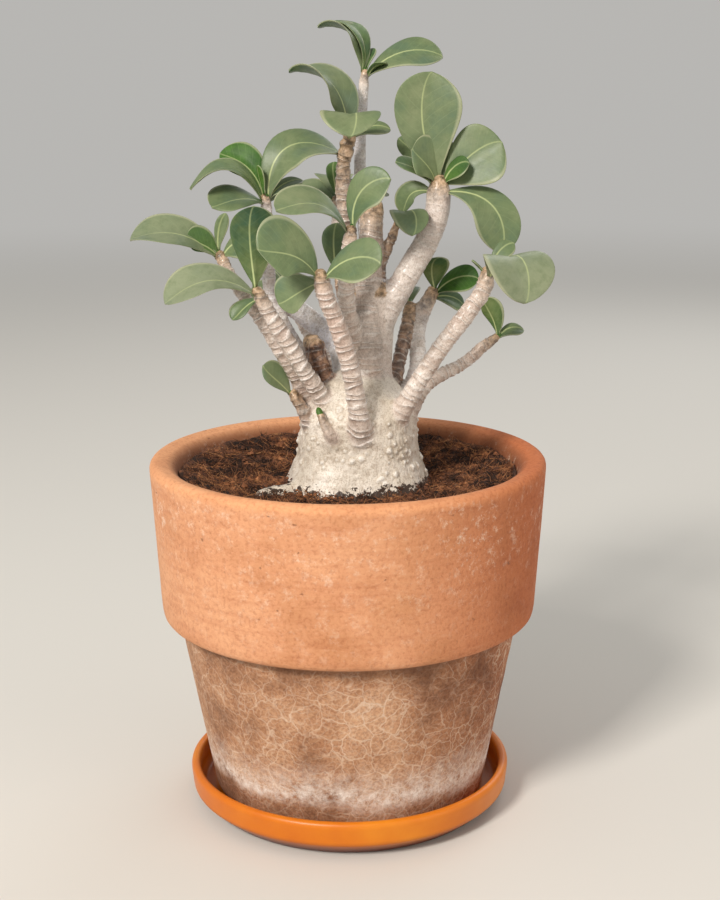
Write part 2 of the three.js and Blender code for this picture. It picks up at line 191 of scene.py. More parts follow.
# %% [markdown]
# ## Camera, floor and light
#
# The view is a little from above, 52 cm from the pot, through a moderately long lens. A pale floor and a
# pale surrounding keep the light plain. The main lamp, 35 cm wide, stands to the upper left in front, as
# in a room lit from one side. A wide, weak one opposite opens the shadows, and one behind lights the edges.

# %% Camera
# Its place is in metres, and its pitch and roll are in radians.
PITCH, ROLL = 0.218, -0.004
FOCAL_PIXELS, PICTURE_PIXELS, SENSOR = 1411, 900, 36
camera = bpy.data.objects.new("camera", bpy.data.cameras.new("camera"))
camera.data.lens = FOCAL_PIXELS / PICTURE_PIXELS * SENSOR
camera.data.sensor_width = SENSOR
camera.data.clip_start = 0.01
turn = Matrix.Rotation(np.pi / 2 - PITCH, 4, "X") @ Matrix.Rotation(ROLL, 4, "Z")
camera.matrix_world = Matrix.Translation((0.0046, -0.5236, 0.2536)) @ turn
bpy.context.scene.collection.objects.link(camera)
bpy.context.scene.camera = camera
print("lens", round(camera.data.lens, 1), "mm")

# %% Floor
# The floor is matt paper with no gloss. Half a metre out it begins to fade into the room's own light,
# which softens the horizon in the front view.
ROOM, ROOM_LIGHT, PAPER = "#F0EEEA", 0.55, "#D9D7D2"
FADE_FROM, FADE_TO, FLOOR_REACH = 0.5, 4.0, 20
floor_mesh = bpy.data.meshes.new("floor")
corners = [(x * FLOOR_REACH, y * FLOOR_REACH, 0) for x, y in ((-1, -1), (1, -1), (1, 1), (-1, 1))]
floor_mesh.from_pydata(corners, [], [(0, 1, 2, 3)])
floor = bpy.data.objects.new("floor", floor_mesh)
paper, tree, shader = material("matt_paper", PAPER, 0.9, Specular_IOR_Level=0.0)
place = add(tree, "TexCoord").node.outputs["Object"]
away = add(tree, "VectorMath", [place], operation="LENGTH")
far_off = add(tree, "MapRange", [away, FADE_FROM, FADE_TO], interpolation_type="SMOOTHSTEP")
faded = add(tree, "Mix", {0: far_off, 6: PAPER, 7: "#000000"}, data_type="RGBA")
glow = add(tree, "Math", [far_off, ROOM_LIGHT], operation="MULTIPLY")
shader.inputs["Emission Color"].default_value = linear(ROOM)
wire(tree, shader, Base_Color=faded, Emission_Strength=glow)
floor.data.materials.append(paper)
bpy.context.scene.collection.objects.link(floor)
print("floor:", 2 * FLOOR_REACH, "m wide")

# %% Lamps and the room
LAMPS = {  # place in metres, size in metres, watts, colour
    "key": ((-0.75, -1.2, 1.15), 0.35, 28, "#FFF8EF"),
    "fill": ((1.4, -0.8, 0.6), 1.2, 5, "#FFF0DE"),
    "rim": ((0.7, 1.2, 1.1), 0.9, 5, "#FFFFFF"),
}
AIM = Vector((0, 0, 0.15))
for name, (place, size, watts, colour) in LAMPS.items():
    lamp = bpy.data.objects.new(name, bpy.data.lights.new(name, "AREA"))
    lamp.data.size = size
    lamp.data.energy = watts
    lamp.data.color = linear(colour)[:3]
    lamp.location = place
    lamp.rotation_euler = (AIM - Vector(place)).to_track_quat("-Z", "Y").to_euler()
    bpy.context.scene.collection.objects.link(lamp)
world = bpy.data.worlds.new("pale_room")
world.use_nodes = True
world.node_tree.nodes["Background"].inputs["Color"].default_value = linear(ROOM)
world.node_tree.nodes["Background"].inputs["Strength"].default_value = ROOM_LIGHT
bpy.context.scene.world = world
bpy.context.scene.view_settings.view_transform = "Standard"
print("lamps:", list(LAMPS))

# %% [markdown]
# ## The lines that the plant grows along
#
# Every branch follows a few points from the caudex to its tip. A Catmull-Rom line through them is smooth
# and passes through each point, so the wood and the leaves agree on where a branch ends. Each row has the
# radius at the base, the radius at the end, and then the points.

# %% Branch table
SHOOT = 6.0  # mm of green shoot at the end of a branch that bears leaves
BRANCHES = dict(
    far_left=[3.0, 2.2, (-9, -4, 149), (-17, -15, 165.5), (-24, -21, 179), (-29.5, -23, 189),
        (-36, -22, 198), (-44, -11, 208.5), (-47, -8, 214)],
    left=[3.4, 2.6, (-3, -9, 147), (-8.8, -17, 160.6), (-15.8, -23, 173), (-20.5, -26, 182.5),
        (-27, -28, 193), (-32, -30, 203)],
    upper_left=[3.4, 2.2, (-8, -4, 155), (-17, 1, 173), (-24, 4, 185), (-28.8, 6, 197), (-29.2, 7, 216),
        (-30, 6, 234)],
    cut_left=[4.4, 4.0, (2, -2, 155), (-0.7, 3, 167.7), (-4, 8, 177), (-13, 10, 185.2), (-22, 10, 192.5)],
    broken=[3.8, 3.8, (-6, -7, 157), (-9, -8.5, 167), (-12.2, -6.5, 178.5)],
    sprout=[2.6, 1.9, (-9, -11, 144), (-13.4, -15, 150.4), (-16.5, -18, 157), (-21, -18, 164)],
    front=[3.7, 3.0, (5, -18, 144), (4.8, -25, 151), (3.4, -27.5, 162), (1.3, -31, 174), (-2.4, -36, 188),
        (-7, -41, 201), (-9, -44, 210)],
    trunk=[9.6, 7.6, (7.5, -2, 148), (8, 0, 172), (8.2, 1, 195)],
    centre=[4.0, 2.6, (5, 0, 168), (1.8, -9, 183), (0, -15, 195), (0, -19, 206), (2, -22, 224)],
    inner=[2.0, 1.5, (0, -11, 188), (-2, -8, 198), (-4, -6, 206)],
    stump=[4.0, 4.4, (8.6, -6, 160), (8.2, -8, 171.5), (7.4, -5, 188), (7.6, -2, 199), (9.6, 4, 227.8)],
    crown=[3.2, 2.7, (6, 4, 190), (0.4, 8, 212), (-1, 9, 229), (-1.2, 8.5, 243), (2, 4, 257)],
    top=[3.0, 1.9, (8, 6, 190), (7, 13, 216), (5.1, 15, 240), (5.2, 16, 253), (7, 16, 279)],
    right_high=[4.8, 4.5, (9, 0, 176), (12.5, 0, 186), (17.6, 0.5, 195.5), (25, 1.5, 208.5),
        (29.5, 2, 216), (33.3, 2, 227), (34, 2, 239)],
    side=[2.2, 1.6, (11, 2, 196), (13, 4, 208), (17, 4, 218), (20, 2, 226)],
    right=[3.6, 3.1, (15, -9, 147), (18.6, -16, 153.5), (25.6, -18, 166.4), (35, -18, 180.7),
        (44.8, -18, 193.7), (49, -18, 200.5), (51, -18, 209)],
    back_right=[2.9, 3.1, (18, 4, 152), (24.6, 8, 161), (27, 14, 169), (27.3, 20, 181), (30, 23, 189),
        (34, 24, 197)],
    right_low=[2.8, 2.2, (19, -7, 148), (24, -8, 155.5), (28.7, -6, 162.5), (34, -3, 166.3),
        (44, 3, 170.5), (51, 5, 176), (58, 6, 181)],
    dark=[2.8, 2.2, (14, 6, 155), (18.4, 9, 166), (22.2, 17, 181), (24.6, 24, 192)],
    back_high=[3.8, 2.6, (5, 6, 178), (0, 18, 200), (-3, 28, 218), (-4, 34, 232)],
    back_low=[3.6, 2.5, (-2, 6, 160), (-10, 18, 172), (-18, 28, 184), (-24, 34, 196)],
    bud=[1.9, 1.3, (-4, -20, 146), (-6, -25.5, 148.5), (-8.2, -25.5, 152.5), (-9.8, -24, 156.5)],
    root=[5.0, 2.4, (-8, -9, 121), (-18, -16, 125), (-25, -21, 126.2), (-31, -26, 126)],
)
NUMBER = {name: i for i, name in enumerate(BRANCHES)}
LEAFLESS = {"cut_left", "broken", "stump", "root", "trunk", "bud"}
FOOT_FLARE, FLARE_LENGTH = 0.35, 8  # a branch is 35 % wider at its foot; 8 mm on, a third of that is left
print("branches:", len(BRANCHES), "without leaves:", len(LEAFLESS))


# %% Lines and frames along them
def grown_line(points, step):
    """Centripetal Catmull-Rom line, resampled at even steps of arc length.

    On each stretch it is a cubic Hermite; the slope at an inner point weighs the chords on both sides
    by the square root of their lengths. Returns points, tangents and distances from the start."""
    p = np.array(points, float)
    p = np.vstack([2 * p[0] - p[1], p, 2 * p[-1] - p[-2]])
    t = np.linspace(0, 1, 60, endpoint=False)[:, None]
    out = []
    for a, b, c, d in zip(p[:-3], p[1:-2], p[2:-1], p[3:]):
        u, v, w = [np.sqrt(np.linalg.norm(s)) for s in (b - a, c - b, d - c)]
        m0 = ((b - a) / u - (c - a) / (u + v) + (c - b) / v) * v
        m1 = ((c - b) / v - (d - b) / (v + w) + (d - c) / w) * v
        out.append(b + m0 * t + (3 * (c - b) - 2 * m0 - m1) * t**2 + (2 * (b - c) + m0 + m1) * t**3)
    line = np.vstack([*out, p[-2:-1]])
    far = np.concatenate([[0], np.cumsum(np.linalg.norm(np.diff(line, axis=0), axis=1))])
    at = np.linspace(0, far[-1], max(3, int(far[-1] / step) + 1))
    line = np.stack([np.interp(at, far, line[:, i]) for i in range(3)], 1)
    tangent = np.gradient(line, at, axis=0)
    return line, tangent / np.linalg.norm(tangent, axis=1)[:, None], at


def cross_frame(tangent):
    """Two directions across each tangent: side is level, up completes the right-handed set."""
    side = np.cross(tangent, (0.0, 0.35, 1.0))
    side /= np.linalg.norm(side, axis=-1)[..., None]
    return side, np.cross(side, tangent)


def wood_radius(name, at, length):
    """Taper from base to end radius by the share of the length to the power 0.8, with a flared foot."""
    start, end = BRANCHES[name][:2]
    return (start + (end - start) * (at / length) ** 0.8) * (1 + FOOT_FLARE * np.exp(-at / FLARE_LENGTH))


# Stations are 0.75 mm apart. Under its shoot the wood narrows by 35 %, and it stops 2.2 mm short of the end.
LINE_STEP, NARROWED, BARE_END = 0.75, 0.35, 2.2
stations = []
for name in BRANCHES:
    line, tangent, at = grown_line(BRANCHES[name][2:], LINE_STEP)
    narrow = 1 - NARROWED * np.clip((at - at[-1] + SHOOT) / SHOOT, 0, 1) * (name not in LEAFLESS)
    keep = at <= at[-1] - (0 if name in LEAFLESS else BARE_END)
    side, up = cross_frame(tangent)
    stations.append(dict(
        line=line[keep], tangent=tangent[keep], side=side[keep], up=up[keep], at=at[keep],
        radius=(wood_radius(name, at, at[-1]) * narrow)[keep]))
print("branches:", len(stations), "stations:", sum(len(s["at"]) for s in stations))

# %% [markdown]
# ## Caudex and branches as one skin
#
# Wood that has grown together shows no seams: each branch flows out of the caudex. A distance field gives
# that. Every branch is a chain of balls, the caudex is a lobed turned shape, and their distances are blended
# with a smooth minimum, -log(sum(exp(-k d))) / k, which fills the crotches as growth does. The skin is then
# read off the field as a surface net, one point in each cell that the surface crosses.

# %% The distance field
STEP = 0.66  # mm from one grid point to the next
BLEND = 0.9  # the k of the smooth minimum, for each mm
REACH, FAR = 6, 50  # mm: a branch is felt that far from its surface, and counts as this far beyond that
LOW = np.array([-55.0, -53.0, 103.0])
HIGH = np.array([65.0, 42.0, 281.0])
CAUDEX_CENTRE, CAUDEX_FOOT, CAUDEX_TOP = (3.5, -4.0), 104.5, 171
CAUDEX_Z = np.array([103, 107, 112, 119, 125, 131, 138, 146, 153, 160, 166, 171])
CAUDEX_R = np.array([12, 19.5, 23.0, 26.6, 28.2, 25.5, 23.0, 22.0, 21.2, 18.0, 12.5, 2.0])
axes = [np.arange(LOW[i], HIGH[i], STEP, dtype=np.float32) for i in range(3)]
total = np.zeros([len(a) for a in axes], np.float32)


def window(low, high):
    """The slices of the grid between two corners, and the open grids of coordinates inside them."""
    parts = []
    for i in range(3):
        a = max(0, int((low[i] - LOW[i]) / STEP))
        b = min(len(axes[i]), int((high[i] - LOW[i]) / STEP) + 2)
        parts.append(slice(a, b))
    return tuple(parts), np.ix_(*[axes[i][parts[i]] for i in range(3)])


def caudex_radius(angle, z):
    """The turned profile at height z, times shallow lobes: three broad ones and five narrow ones."""
    lobes = 1 + 0.035 * np.cos(3 * angle + 1) + 0.025 * np.cos(5 * angle + z / 30)
    return np.interp(z, CAUDEX_Z, CAUDEX_R) * lobes


def round_caudex(radius, angle, z):
    """Points at that radius, angle and height about the caudex's own axis."""
    x, y = CAUDEX_CENTRE
    return np.stack([x + radius * np.cos(angle), y + radius * np.sin(angle), z], 1)


cut, (x, y, z) = window(LOW, (HIGH[0], HIGH[1], CAUDEX_TOP + 5))
across = np.hypot(x - CAUDEX_CENTRE[0], y - CAUDEX_CENTRE[1])
around = np.arctan2(y - CAUDEX_CENTRE[1], x - CAUDEX_CENTRE[0])
distance = np.maximum(across - caudex_radius(around, z), np.maximum(z - CAUDEX_TOP, CAUDEX_FOOT - z))
total[cut] += np.exp(-BLEND * np.minimum(distance, 20))
for s in stations:
    reach = s["radius"].max() + REACH
    cut, _ = window(s["line"].min(0) - reach, s["line"].max(0) + reach)
    near = np.full([c.stop - c.start for c in cut], FAR, np.float32)
    for p, r in zip(s["line"], s["radius"]):
        inner, (x, y, z) = window(p - r - REACH, p + r + REACH)
        local = tuple(slice(i.start - c.start, i.stop - c.start) for i, c in zip(inner, cut))
        d = np.sqrt((x - p[0]) ** 2 + (y - p[1]) ** 2 + (z - p[2]) ** 2) - r
        near[local] = np.minimum(near[local], d)
    total[cut] += np.exp(-BLEND * near)
field = -np.log(np.maximum(total, 1e-9)) / BLEND
print("field:", field.shape, "inside:", int((field < 0).sum()))


# %% The surface net
def surface_net(field, low, step):
    """One point for each cell whose corners differ in sign, at the mean of its edge crossings; one quad
    round each grid edge that crosses the surface, turned so that it faces the positive side."""
    inside = field < 0
    wide, deep, tall = np.array(field.shape) - 1
    count = sum(inside[i:wide + i, j:deep + j, k:tall + k].astype(np.int8) for i, j, k in np.ndindex(2, 2, 2))
    cells = np.argwhere((count > 0) & (count < 8))
    number = np.full(count.shape, -1, np.int32)
    number[tuple(cells.T)] = np.arange(len(cells))
    corner = {c: field[tuple((cells + c).T)] for c in np.ndindex(2, 2, 2)}
    place, hits = np.zeros((len(cells), 3)), np.zeros(len(cells))
    for axis in range(3):
        for c in np.ndindex(2, 2, 2):
            if c[axis]:
                continue
            other = tuple(1 if i == axis else c[i] for i in range(3))
            a, b = corner[c], corner[other]
            cross = (a < 0) != (b < 0)
            point = np.tile(np.array(c, float), (len(cells), 1))
            point[:, axis] = np.where(cross, a / np.where(cross, a - b, 1), 0)
            place += point * cross[:, None]
            hits += cross
    points = low + (cells + place / hits[:, None]) * step
    quads = []
    for axis in range(3):
        one, two = [i for i in range(3) if i != axis]
        first = np.take(inside, range(field.shape[axis] - 1), axis)
        second = np.take(inside, range(1, field.shape[axis]), axis)
        edges = np.argwhere(first != second)
        edges = edges[(edges[:, one] > 0) & (edges[:, two] > 0)]
        around = []
        for da, db in ((0, 0), (1, 0), (1, 1), (0, 1)):
            cell = edges.copy()
            cell[:, one] -= da
            cell[:, two] -= db
            around.append(number[tuple(cell.T)])
        quad = np.stack(around, 1)
        flip = first[tuple(edges.T)] ^ (axis == 1)
        quads.append(np.where(flip[:, None], quad, quad[:, ::-1]))
    quads = np.concatenate(quads)
    return points, quads[(quads >= 0).all(1)]


skin, skin_quads = surface_net(field, LOW, STEP)
print("skin:", len(skin), "points,", len(skin_quads), "quads")

# %% [markdown]
# ## Leaf scars and warts
#
# A fallen leaf leaves a scar with an arched lip, highest in its middle, and the scars follow each other
# round the branch by the golden angle. Seen from any side they stack up like folds, 2.6 mm apart, with
# narrow crests and wide hollows. The caudex has no scars but small round warts and fine wrinkles. Both
# are raised here in the mesh, along the skin's own normals, because their highlights and outline show.

# %% Nearest branch of every skin point
GOLDEN = 2.399963
counts = [len(s["at"]) for s in stations]
all_points, all_tangents, all_sides, all_ups, all_radii, all_at = [
    np.concatenate([s[key] for s in stations]) for key in ("line", "tangent", "side", "up", "radius", "at")]
all_left = np.concatenate([s["at"][-1] - s["at"] for s in stations])
all_numbers = np.repeat(np.arange(len(stations)), counts)
starts = np.concatenate([[0], np.cumsum(counts)[:-1]])
nearest, clearance, lead = [], [], []
for block in np.array_split(skin, len(skin) // 4000 + 1):
    gap = np.linalg.norm(block[:, None].astype(np.float32) - all_points[None].astype(np.float32), axis=2)
    gap -= all_radii.astype(np.float32)
    nearest.append(gap.argmin(1))
    two = np.partition(np.minimum.reduceat(gap, starts, axis=1), 1, axis=1)
    clearance.append(two[:, 0])
    lead.append(two[:, 1] - two[:, 0])
nearest, clearance, lead = map(np.concatenate, (nearest, clearance, lead))
offset = skin - all_points[nearest]
forward = (offset * all_tangents[nearest]).sum(1)
along = all_at[nearest] + forward
left = all_left[nearest] - forward
angle = np.arctan2((offset * all_ups[nearest]).sum(1), (offset * all_sides[nearest]).sum(1))
owner = all_numbers[nearest]
print("skin points on the front branch:", int((owner == NUMBER["front"]).sum()))

# %% Caudex or branch
CAUDEX_SEAM = 3  # mm over which the caudex's skin turns into a branch's
angle_round = np.arctan2(skin[:, 1] - CAUDEX_CENTRE[1], skin[:, 0] - CAUDEX_CENTRE[0])
caudex_gap = np.hypot(skin[:, 0] - CAUDEX_CENTRE[0], skin[:, 1] - CAUDEX_CENTRE[1])
caudex_gap = np.maximum(caudex_gap - caudex_radius(angle_round, skin[:, 2]), skin[:, 2] - CAUDEX_TOP)
on_branch = np.clip((caudex_gap - clearance + CAUDEX_SEAM / 2) / CAUDEX_SEAM, 0, 1)
on_branch = on_branch * on_branch * (3 - 2 * on_branch)
on_root = on_branch * (owner == NUMBER["root"])
on_branch = on_branch - on_root
print("skin on branches:", round(float(on_branch.mean()), 2))

# %% Scars
RING, RING_HEIGHT = 2.6, 0.32  # mm from one scar to the next, and mm by which its lip rises
ARCH, CREST = 0.26, 0.68  # as shares of a ring: how high a scar's middle arches, and where its crest is
LOOKS = dict(  # relief of the rings, silver share, brown share, length of the brown tip in mm
    far_left=(0.8, 0.0, 0.2, 16), left=(1.0, 0.0, 0.0, 9), upper_left=(0.5, 0.8, 0.1, 6),
    cut_left=(0.15, 1.0, 0.0, 3), broken=(0.3, 0.0, 1.0, 2), sprout=(0.9, 0.0, 0.4, 12),
    front=(1.0, 0.0, 0.0, 7), trunk=(0.3, 0.1, 0.05, 1), centre=(0.7, 0.1, 0.05, 8), inner=(0.6, 0.0, 0.8, 8),
    stump=(0.7, 0.05, 0.25, 14), crown=(1.1, 0.0, 0.35, 40), top=(0.25, 0.8, 0.0, 8),
    right_high=(0.35, 0.3, 0.12, 9), side=(0.8, 0.0, 0.7, 20), right=(0.7, 0.0, 0.0, 11),
    back_right=(0.5, 0.8, 0.0, 17), right_low=(0.7, 0.0, 0.05, 13), dark=(0.8, 0.0, 0.8, 20),
    back_high=(0.7, 0.2, 0.1, 10), back_low=(0.8, 0.0, 0.1, 10), bud=(0.1, 0.0, 0.0, 11),
    root=(0.0, 0.0, 0.2, 1))


def normals_of(points, quads):
    """Point normals: the sum of the normals of the quads round each point, by the crossed diagonals."""
    n = np.cross(points[quads[:, 2]] - points[quads[:, 0]], points[quads[:, 3]] - points[quads[:, 1]])
    out = np.zeros_like(points)
    for i in range(4):
        for c in range(3):
            out[:, c] += np.bincount(quads[:, i], n[:, c], len(points))
    return out / np.linalg.norm(out, axis=1)[:, None]


normal = normals_of(skin, skin_quads)
turns = along / RING + 3.7 * owner
phase = turns - ARCH * np.cos(angle - GOLDEN * turns)
phase = phase + 0.2 * clouds(skin, 3.5, 17) + 0.35 * clouds(skin, 11, 18)
relief, silver_share, brown_share, tip_reach = np.array([LOOKS[n] for n in BRANCHES])[owner].T
tips = np.clip(1.1 - (left + 1.5) / tip_reach, 0, 1) ** 1.3 * on_branch
relief = relief * on_branch * np.clip(lead / 1.2, 0, 1) * np.clip((left + 3) / 3, 0, 1)
relief = relief * (0.75 + 0.25 * np.cos(angle - GOLDEN * turns)) * (0.8 + 0.35 * clouds(skin, 6, 19))
wave = 2 * np.pi * (phase - CREST)
push = RING_HEIGHT * relief * (np.cos(wave + 0.5 * np.sin(wave)) - 0.2) + 0.35 * tips * clouds(skin, 2.4, 14)
jag = 1.5 * np.clip(1 - left / 7, 0, 1) * clouds(skin * (1, 1, 0.4), 1.9, 22)
push += np.where(owner == NUMBER["broken"], jag, 0)
pink = np.where(owner == NUMBER["front"], 1.5, 0.35)
blush = pink * np.clip(1.15 - left / 42, 0, 1) * on_branch * (0.7 + 0.5 * clouds(skin, 9, 20))
print("scars:", RING, "mm apart")

# %% Warts and wrinkles of the caudex
# A wart is a dome 0.4 to 1.1 mm high, 128 to 160 mm up, with more of them near the top of the caudex,
# and its outline is a little uneven. The wrinkles run level, so their noise is squeezed in height.
rng = np.random.default_rng(3)
WARTS = 260
wart_angle = rng.uniform(-np.pi, np.pi, WARTS)
WARTS_FROM, WARTS_TALL = 128, 32
wart_z = WARTS_FROM + WARTS_TALL * rng.beta(1.6, 1.1, WARTS)
wart_size = rng.uniform(0.5, 0.85, WARTS) * rng.uniform(0.8, 1.5, WARTS)
wart_place = round_caudex(caudex_radius(wart_angle, wart_z), wart_angle, wart_z)
caudex_part = np.flatnonzero(on_branch < 0.98)
uneven = np.stack([clouds(skin[caudex_part], 1.3, seed) for seed in (61, 62, 63)], 1)
gap = np.linalg.norm((skin[caudex_part] + 0.35 * uneven)[:, None] - wart_place[None], axis=2)
wart = np.zeros(len(skin))
wart[caudex_part] = (np.exp(-(gap / wart_size[None])**3) * wart_size[None] * 0.9).max(1)
wrinkle = 0.36 * clouds(skin * (1, 1, 1.8), 8, 11) + 0.2 * clouds(skin * (1, 1, 2.0), 3, 12)
wrinkle += 0.12 * clouds(skin, 1.5, 15)
push += (1 - on_branch) * (wart + wrinkle)
push += on_branch * 0.2 * clouds(skin, 4.5, 13)
bark_points = skin + normal * push[:, None]
print("warts:", WARTS, "highest", round(float(wart.max()), 2), "mm")

# %% [markdown]
# ## Bark
#
# Adenium bark is a thin waxy skin, silver-cream on the old caudex, pinkish-beige on the branches and brown
# where it is young, just under the leaves. The wax is a thin clear coat, fuller on the branches than on
# the dull caudex, and puts soft highlights on the ridges; the grooves between scars carry painted shade
# and their lips painted highlights. The mesh carries what the colour needs: how high on a scar a point is,
# how near the tip, how near the soil.

# %% The bark's own patterns
# Patches of 11 mm, blotches of 2.4 mm, pores of 1.1 mm and a grain of half a millimetre. The vertex
# values say where on a scar, how near the tip or the soil, and on which kind of bark a point lies.
bark, tree, shader = material("waxy_bark", "#DDD0BC", 0.36, 1.45, Coat_Roughness=0.22)
(scar_phase, tip, soiled), (raised, silvery, browned), (branchy, warty, blushed) = [
    add(tree, "SeparateXYZ", [vector.node.outputs["Vector"]]).node.outputs
    for vector in [add(tree, "Attribute", attribute_name=name)
                   for name in ("bark_mark", "bark_kind", "bark_zone")]]
place = add(tree, "TexCoord").node.outputs["Object"]
upright = add(tree, "Mapping", {"Vector": place, "Scale": (1.0, 1.0, 0.3)})
broad, fine, ragged, grooves, grain, crumbly = [
    add(tree, "TexNoise", {"Vector": at, "Scale": scale_for(mm), "Detail": detail, "Roughness": rough})
    for at, mm, detail, rough in (
        (place, 11.1, 4.0, 0.5), (place, 1.111, 3.0, 0.5), (place, 2.38, 4.0, 0.6),
        (upright, 1.25, 3.0, 0.5), (place, 0.5263, 2.0, 0.5), (place, 2.63, 5.0, 0.7))]
uneven_phase = add(tree, "Math", [ragged, 0.3, scar_phase], operation="MULTIPLY_ADD")
saw = add(tree, "Math", [uneven_phase], operation="FRACT")
print("bark reads", len(tree.nodes), "nodes so far")

# %% The bark's colours, each laid over the last
# Painted shade darkens the groove under each scar's lip, and painted highlights whiten the lip itself;
# each wart has a painted shade ring at its foot and a painted highlight on its top. flush is the pink of
# growing wood; young is the brown skin under the leaves.
cream = add(tree, "ValToRGB", [broad], [(0.3, "#D6CFC3"), (0.5, "#E9E4DB"), (0.72, "#F6F3EE")])
beige = add(tree, "ValToRGB", [broad], [(0.3, "#D6C9C2"), (0.5, "#E9E0DA"), (0.72, "#F6F1EE")])
silver = add(tree, "ValToRGB", [broad], [(0.3, "#B9BFD0"), (0.46, "#E6E9F2"), (0.6, "#FAFBFE")])
brown = add(tree, "ValToRGB", [ragged], [(0.36, "#40291D"), (0.5, "#7B5843"), (0.62, "#AF8D74")])
young = add(tree, "ValToRGB", [ragged], [(0.36, "#574633"), (0.5, "#A08567"), (0.62, "#C9AA8C")])
speck = add(tree, "ValToRGB", [ragged], [(0.36, "#B5A28F"), (0.5, "#FFFFFF")])
grainy = add(tree, "ValToRGB", [grain], [(0.38, "#B9AD9C"), (0.48, "#F6F2ED"), (0.6, "#FFFFFF")])
# A painted shade ring at the foot of each wart.
painted_wart_shade = add(tree, "ValToRGB", [warty],
           [(0.0, "#FFFFFF"), (0.08, "#DCD3C6"), (0.2, "#F8F5F0"), (0.4, "#FFFFFF")])
flush = add(tree, "Math", [blushed, 0.6], operation="MULTIPLY")
beige = add(tree, "Mix", {0: flush, 6: beige, 7: "#D2B4A8"}, data_type="RGBA")
# Painted shade darkens the groove under each scar's lip, and a painted highlight whitens the lip.
fold = add(tree, "ValToRGB", [saw], [(0.0, "#E2D5CC"), (0.12, "#F6F1ED"), (0.4, "#E9DED6"), (0.62, "#C4AFA2"),
                                     (0.74, "#FFFFFF"), (0.96, "#FFFFFF")])
fold = add(tree, "Mix", {0: raised, 6: "#F4EEE8", 7: fold}, data_type="RGBA")
# A painted highlight along the lip of each scar, broken up by fine noise.
painted_lip_glint = add(tree, "ValToRGB", [saw], [(0.64, 0.0), (0.74, 1.0), (0.92, 1.0), (1.0, 0.0)])
for share in (add(tree, "MapRange", [fine, 0.38, 0.6, 0.2, 0.95]), raised):
    painted_lip_glint = add(tree, "Math", [painted_lip_glint, share], operation="MULTIPLY")
# A painted highlight on the top of each wart.
painted_wart_highlight = add(tree, "MapRange", [warty, 0.15, 0.6, 0.0, 0.55])
stuck_soil = add(tree, "Math", [crumbly, soiled], operation="LESS_THAN")
colour = cream
for share, coat, blend in (
        (branchy, beige, "MIX"), (silvery, silver, "MIX"), (browned, brown, "MIX"), (0.8, fold, "MULTIPLY"),
        (painted_lip_glint, "#FBF8F5", "MIX"), (0.6, painted_wart_shade, "MULTIPLY"), (painted_wart_highlight, "#F8F6F1", "MIX"),
        (0.45, grainy, "MULTIPLY"), (0.35, speck, "MULTIPLY"), (tip, young, "MIX"),
        (stuck_soil, "#3A281C", "MIX")):
    colour = add(tree, "Mix", {0: share, 6: colour, 7: coat}, data_type="RGBA", blend_type=blend)
print("bark colours laid with", len(tree.nodes), "nodes")

# %% The bark's shine and fine relief
shine = add(tree, "MapRange", [broad, 0.3, 0.7, 0.3, 0.48])
waxed = add(tree, "MapRange", [branchy, 0.0, 1.0, 0.1, 0.4])
lip = add(tree, "ValToRGB", [saw],
          [(0.0, 0.0), (0.3, 0.2), (0.66, 0.35), (0.8, 1.0), (0.92, 0.9), (1.0, 0.0)])
lip = add(tree, "Math", [lip, raised], operation="MULTIPLY")
pores = add(tree, "Mix", {0: branchy, 6: grooves, 7: fine}, data_type="RGBA")
bump = add(tree, "Bump", {"Strength": 0.6, "Distance": 0.7 * MM, "Height": ragged})
for strength, mm, height in ((0.75, 0.8, lip), (0.8, 0.6, pores), (0.4, 0.3, grain)):
    bump = add(tree, "Bump", {"Strength": strength, "Distance": mm * MM, "Height": height, "Normal": bump})
wire(tree, shader, Base_Color=colour, Roughness=shine, Coat_Weight=waxed, Normal=bump)
print("bark nodes:", len(tree.nodes))

# %% The caudex piece
# One branch has a narrow brown crack. Soil sticks to the caudex's foot and to the root beside it.
crack = np.array([(37.2, -3.5, 236), (38.2, -3.0, 230), (36.5, -4.5, 224)])
crack_line = np.concatenate([np.linspace(a, b, 5) for a, b in zip(crack, crack[1:])])
crack_gap = np.linalg.norm(skin[:, None] - crack_line[None], axis=2).min(1)
brown_share = np.clip(np.maximum(brown_share * on_branch, 1.2 - crack_gap / 1.6), 0, 1)
soil_share = np.clip((136.0 - skin[:, 2]) / 10, 0, 1) * (0.64 + 0.18 * clouds(skin, 8, 52))
soil_share = np.maximum(soil_share, np.where(owner == NUMBER["root"], 0.47 * on_root, 0))
piece("caudex_wood", (bark_points, skin_quads, NO_TRIANGLES), bark, "caudex",
      dict(bark_mark=np.stack([phase, np.clip(tips, 0, 1), soil_share], 1),
           bark_kind=np.stack([np.clip(relief, 0, 1), silver_share * on_branch, brown_share], 1),
           bark_zone=np.stack([on_branch, wart, np.clip(blush, 0, 1)], 1)))

# %% [markdown]
# ## Leaves
#
# A leaf is a fleshy wedge, narrow at its foot and widest past the middle, with a pale midrib and fine side
# veins. Its midrib arches over the straight line from foot to tip, and the blade rolls and twists about it.
# Each row holds: turn round Z and rise in degrees, length and width in mm, arch as a share of the length,
# roll and twist in degrees, and a tint from grey-green (0) to the bright green of young leaves (1). A
# negative tint is an old leaf under pale dust.

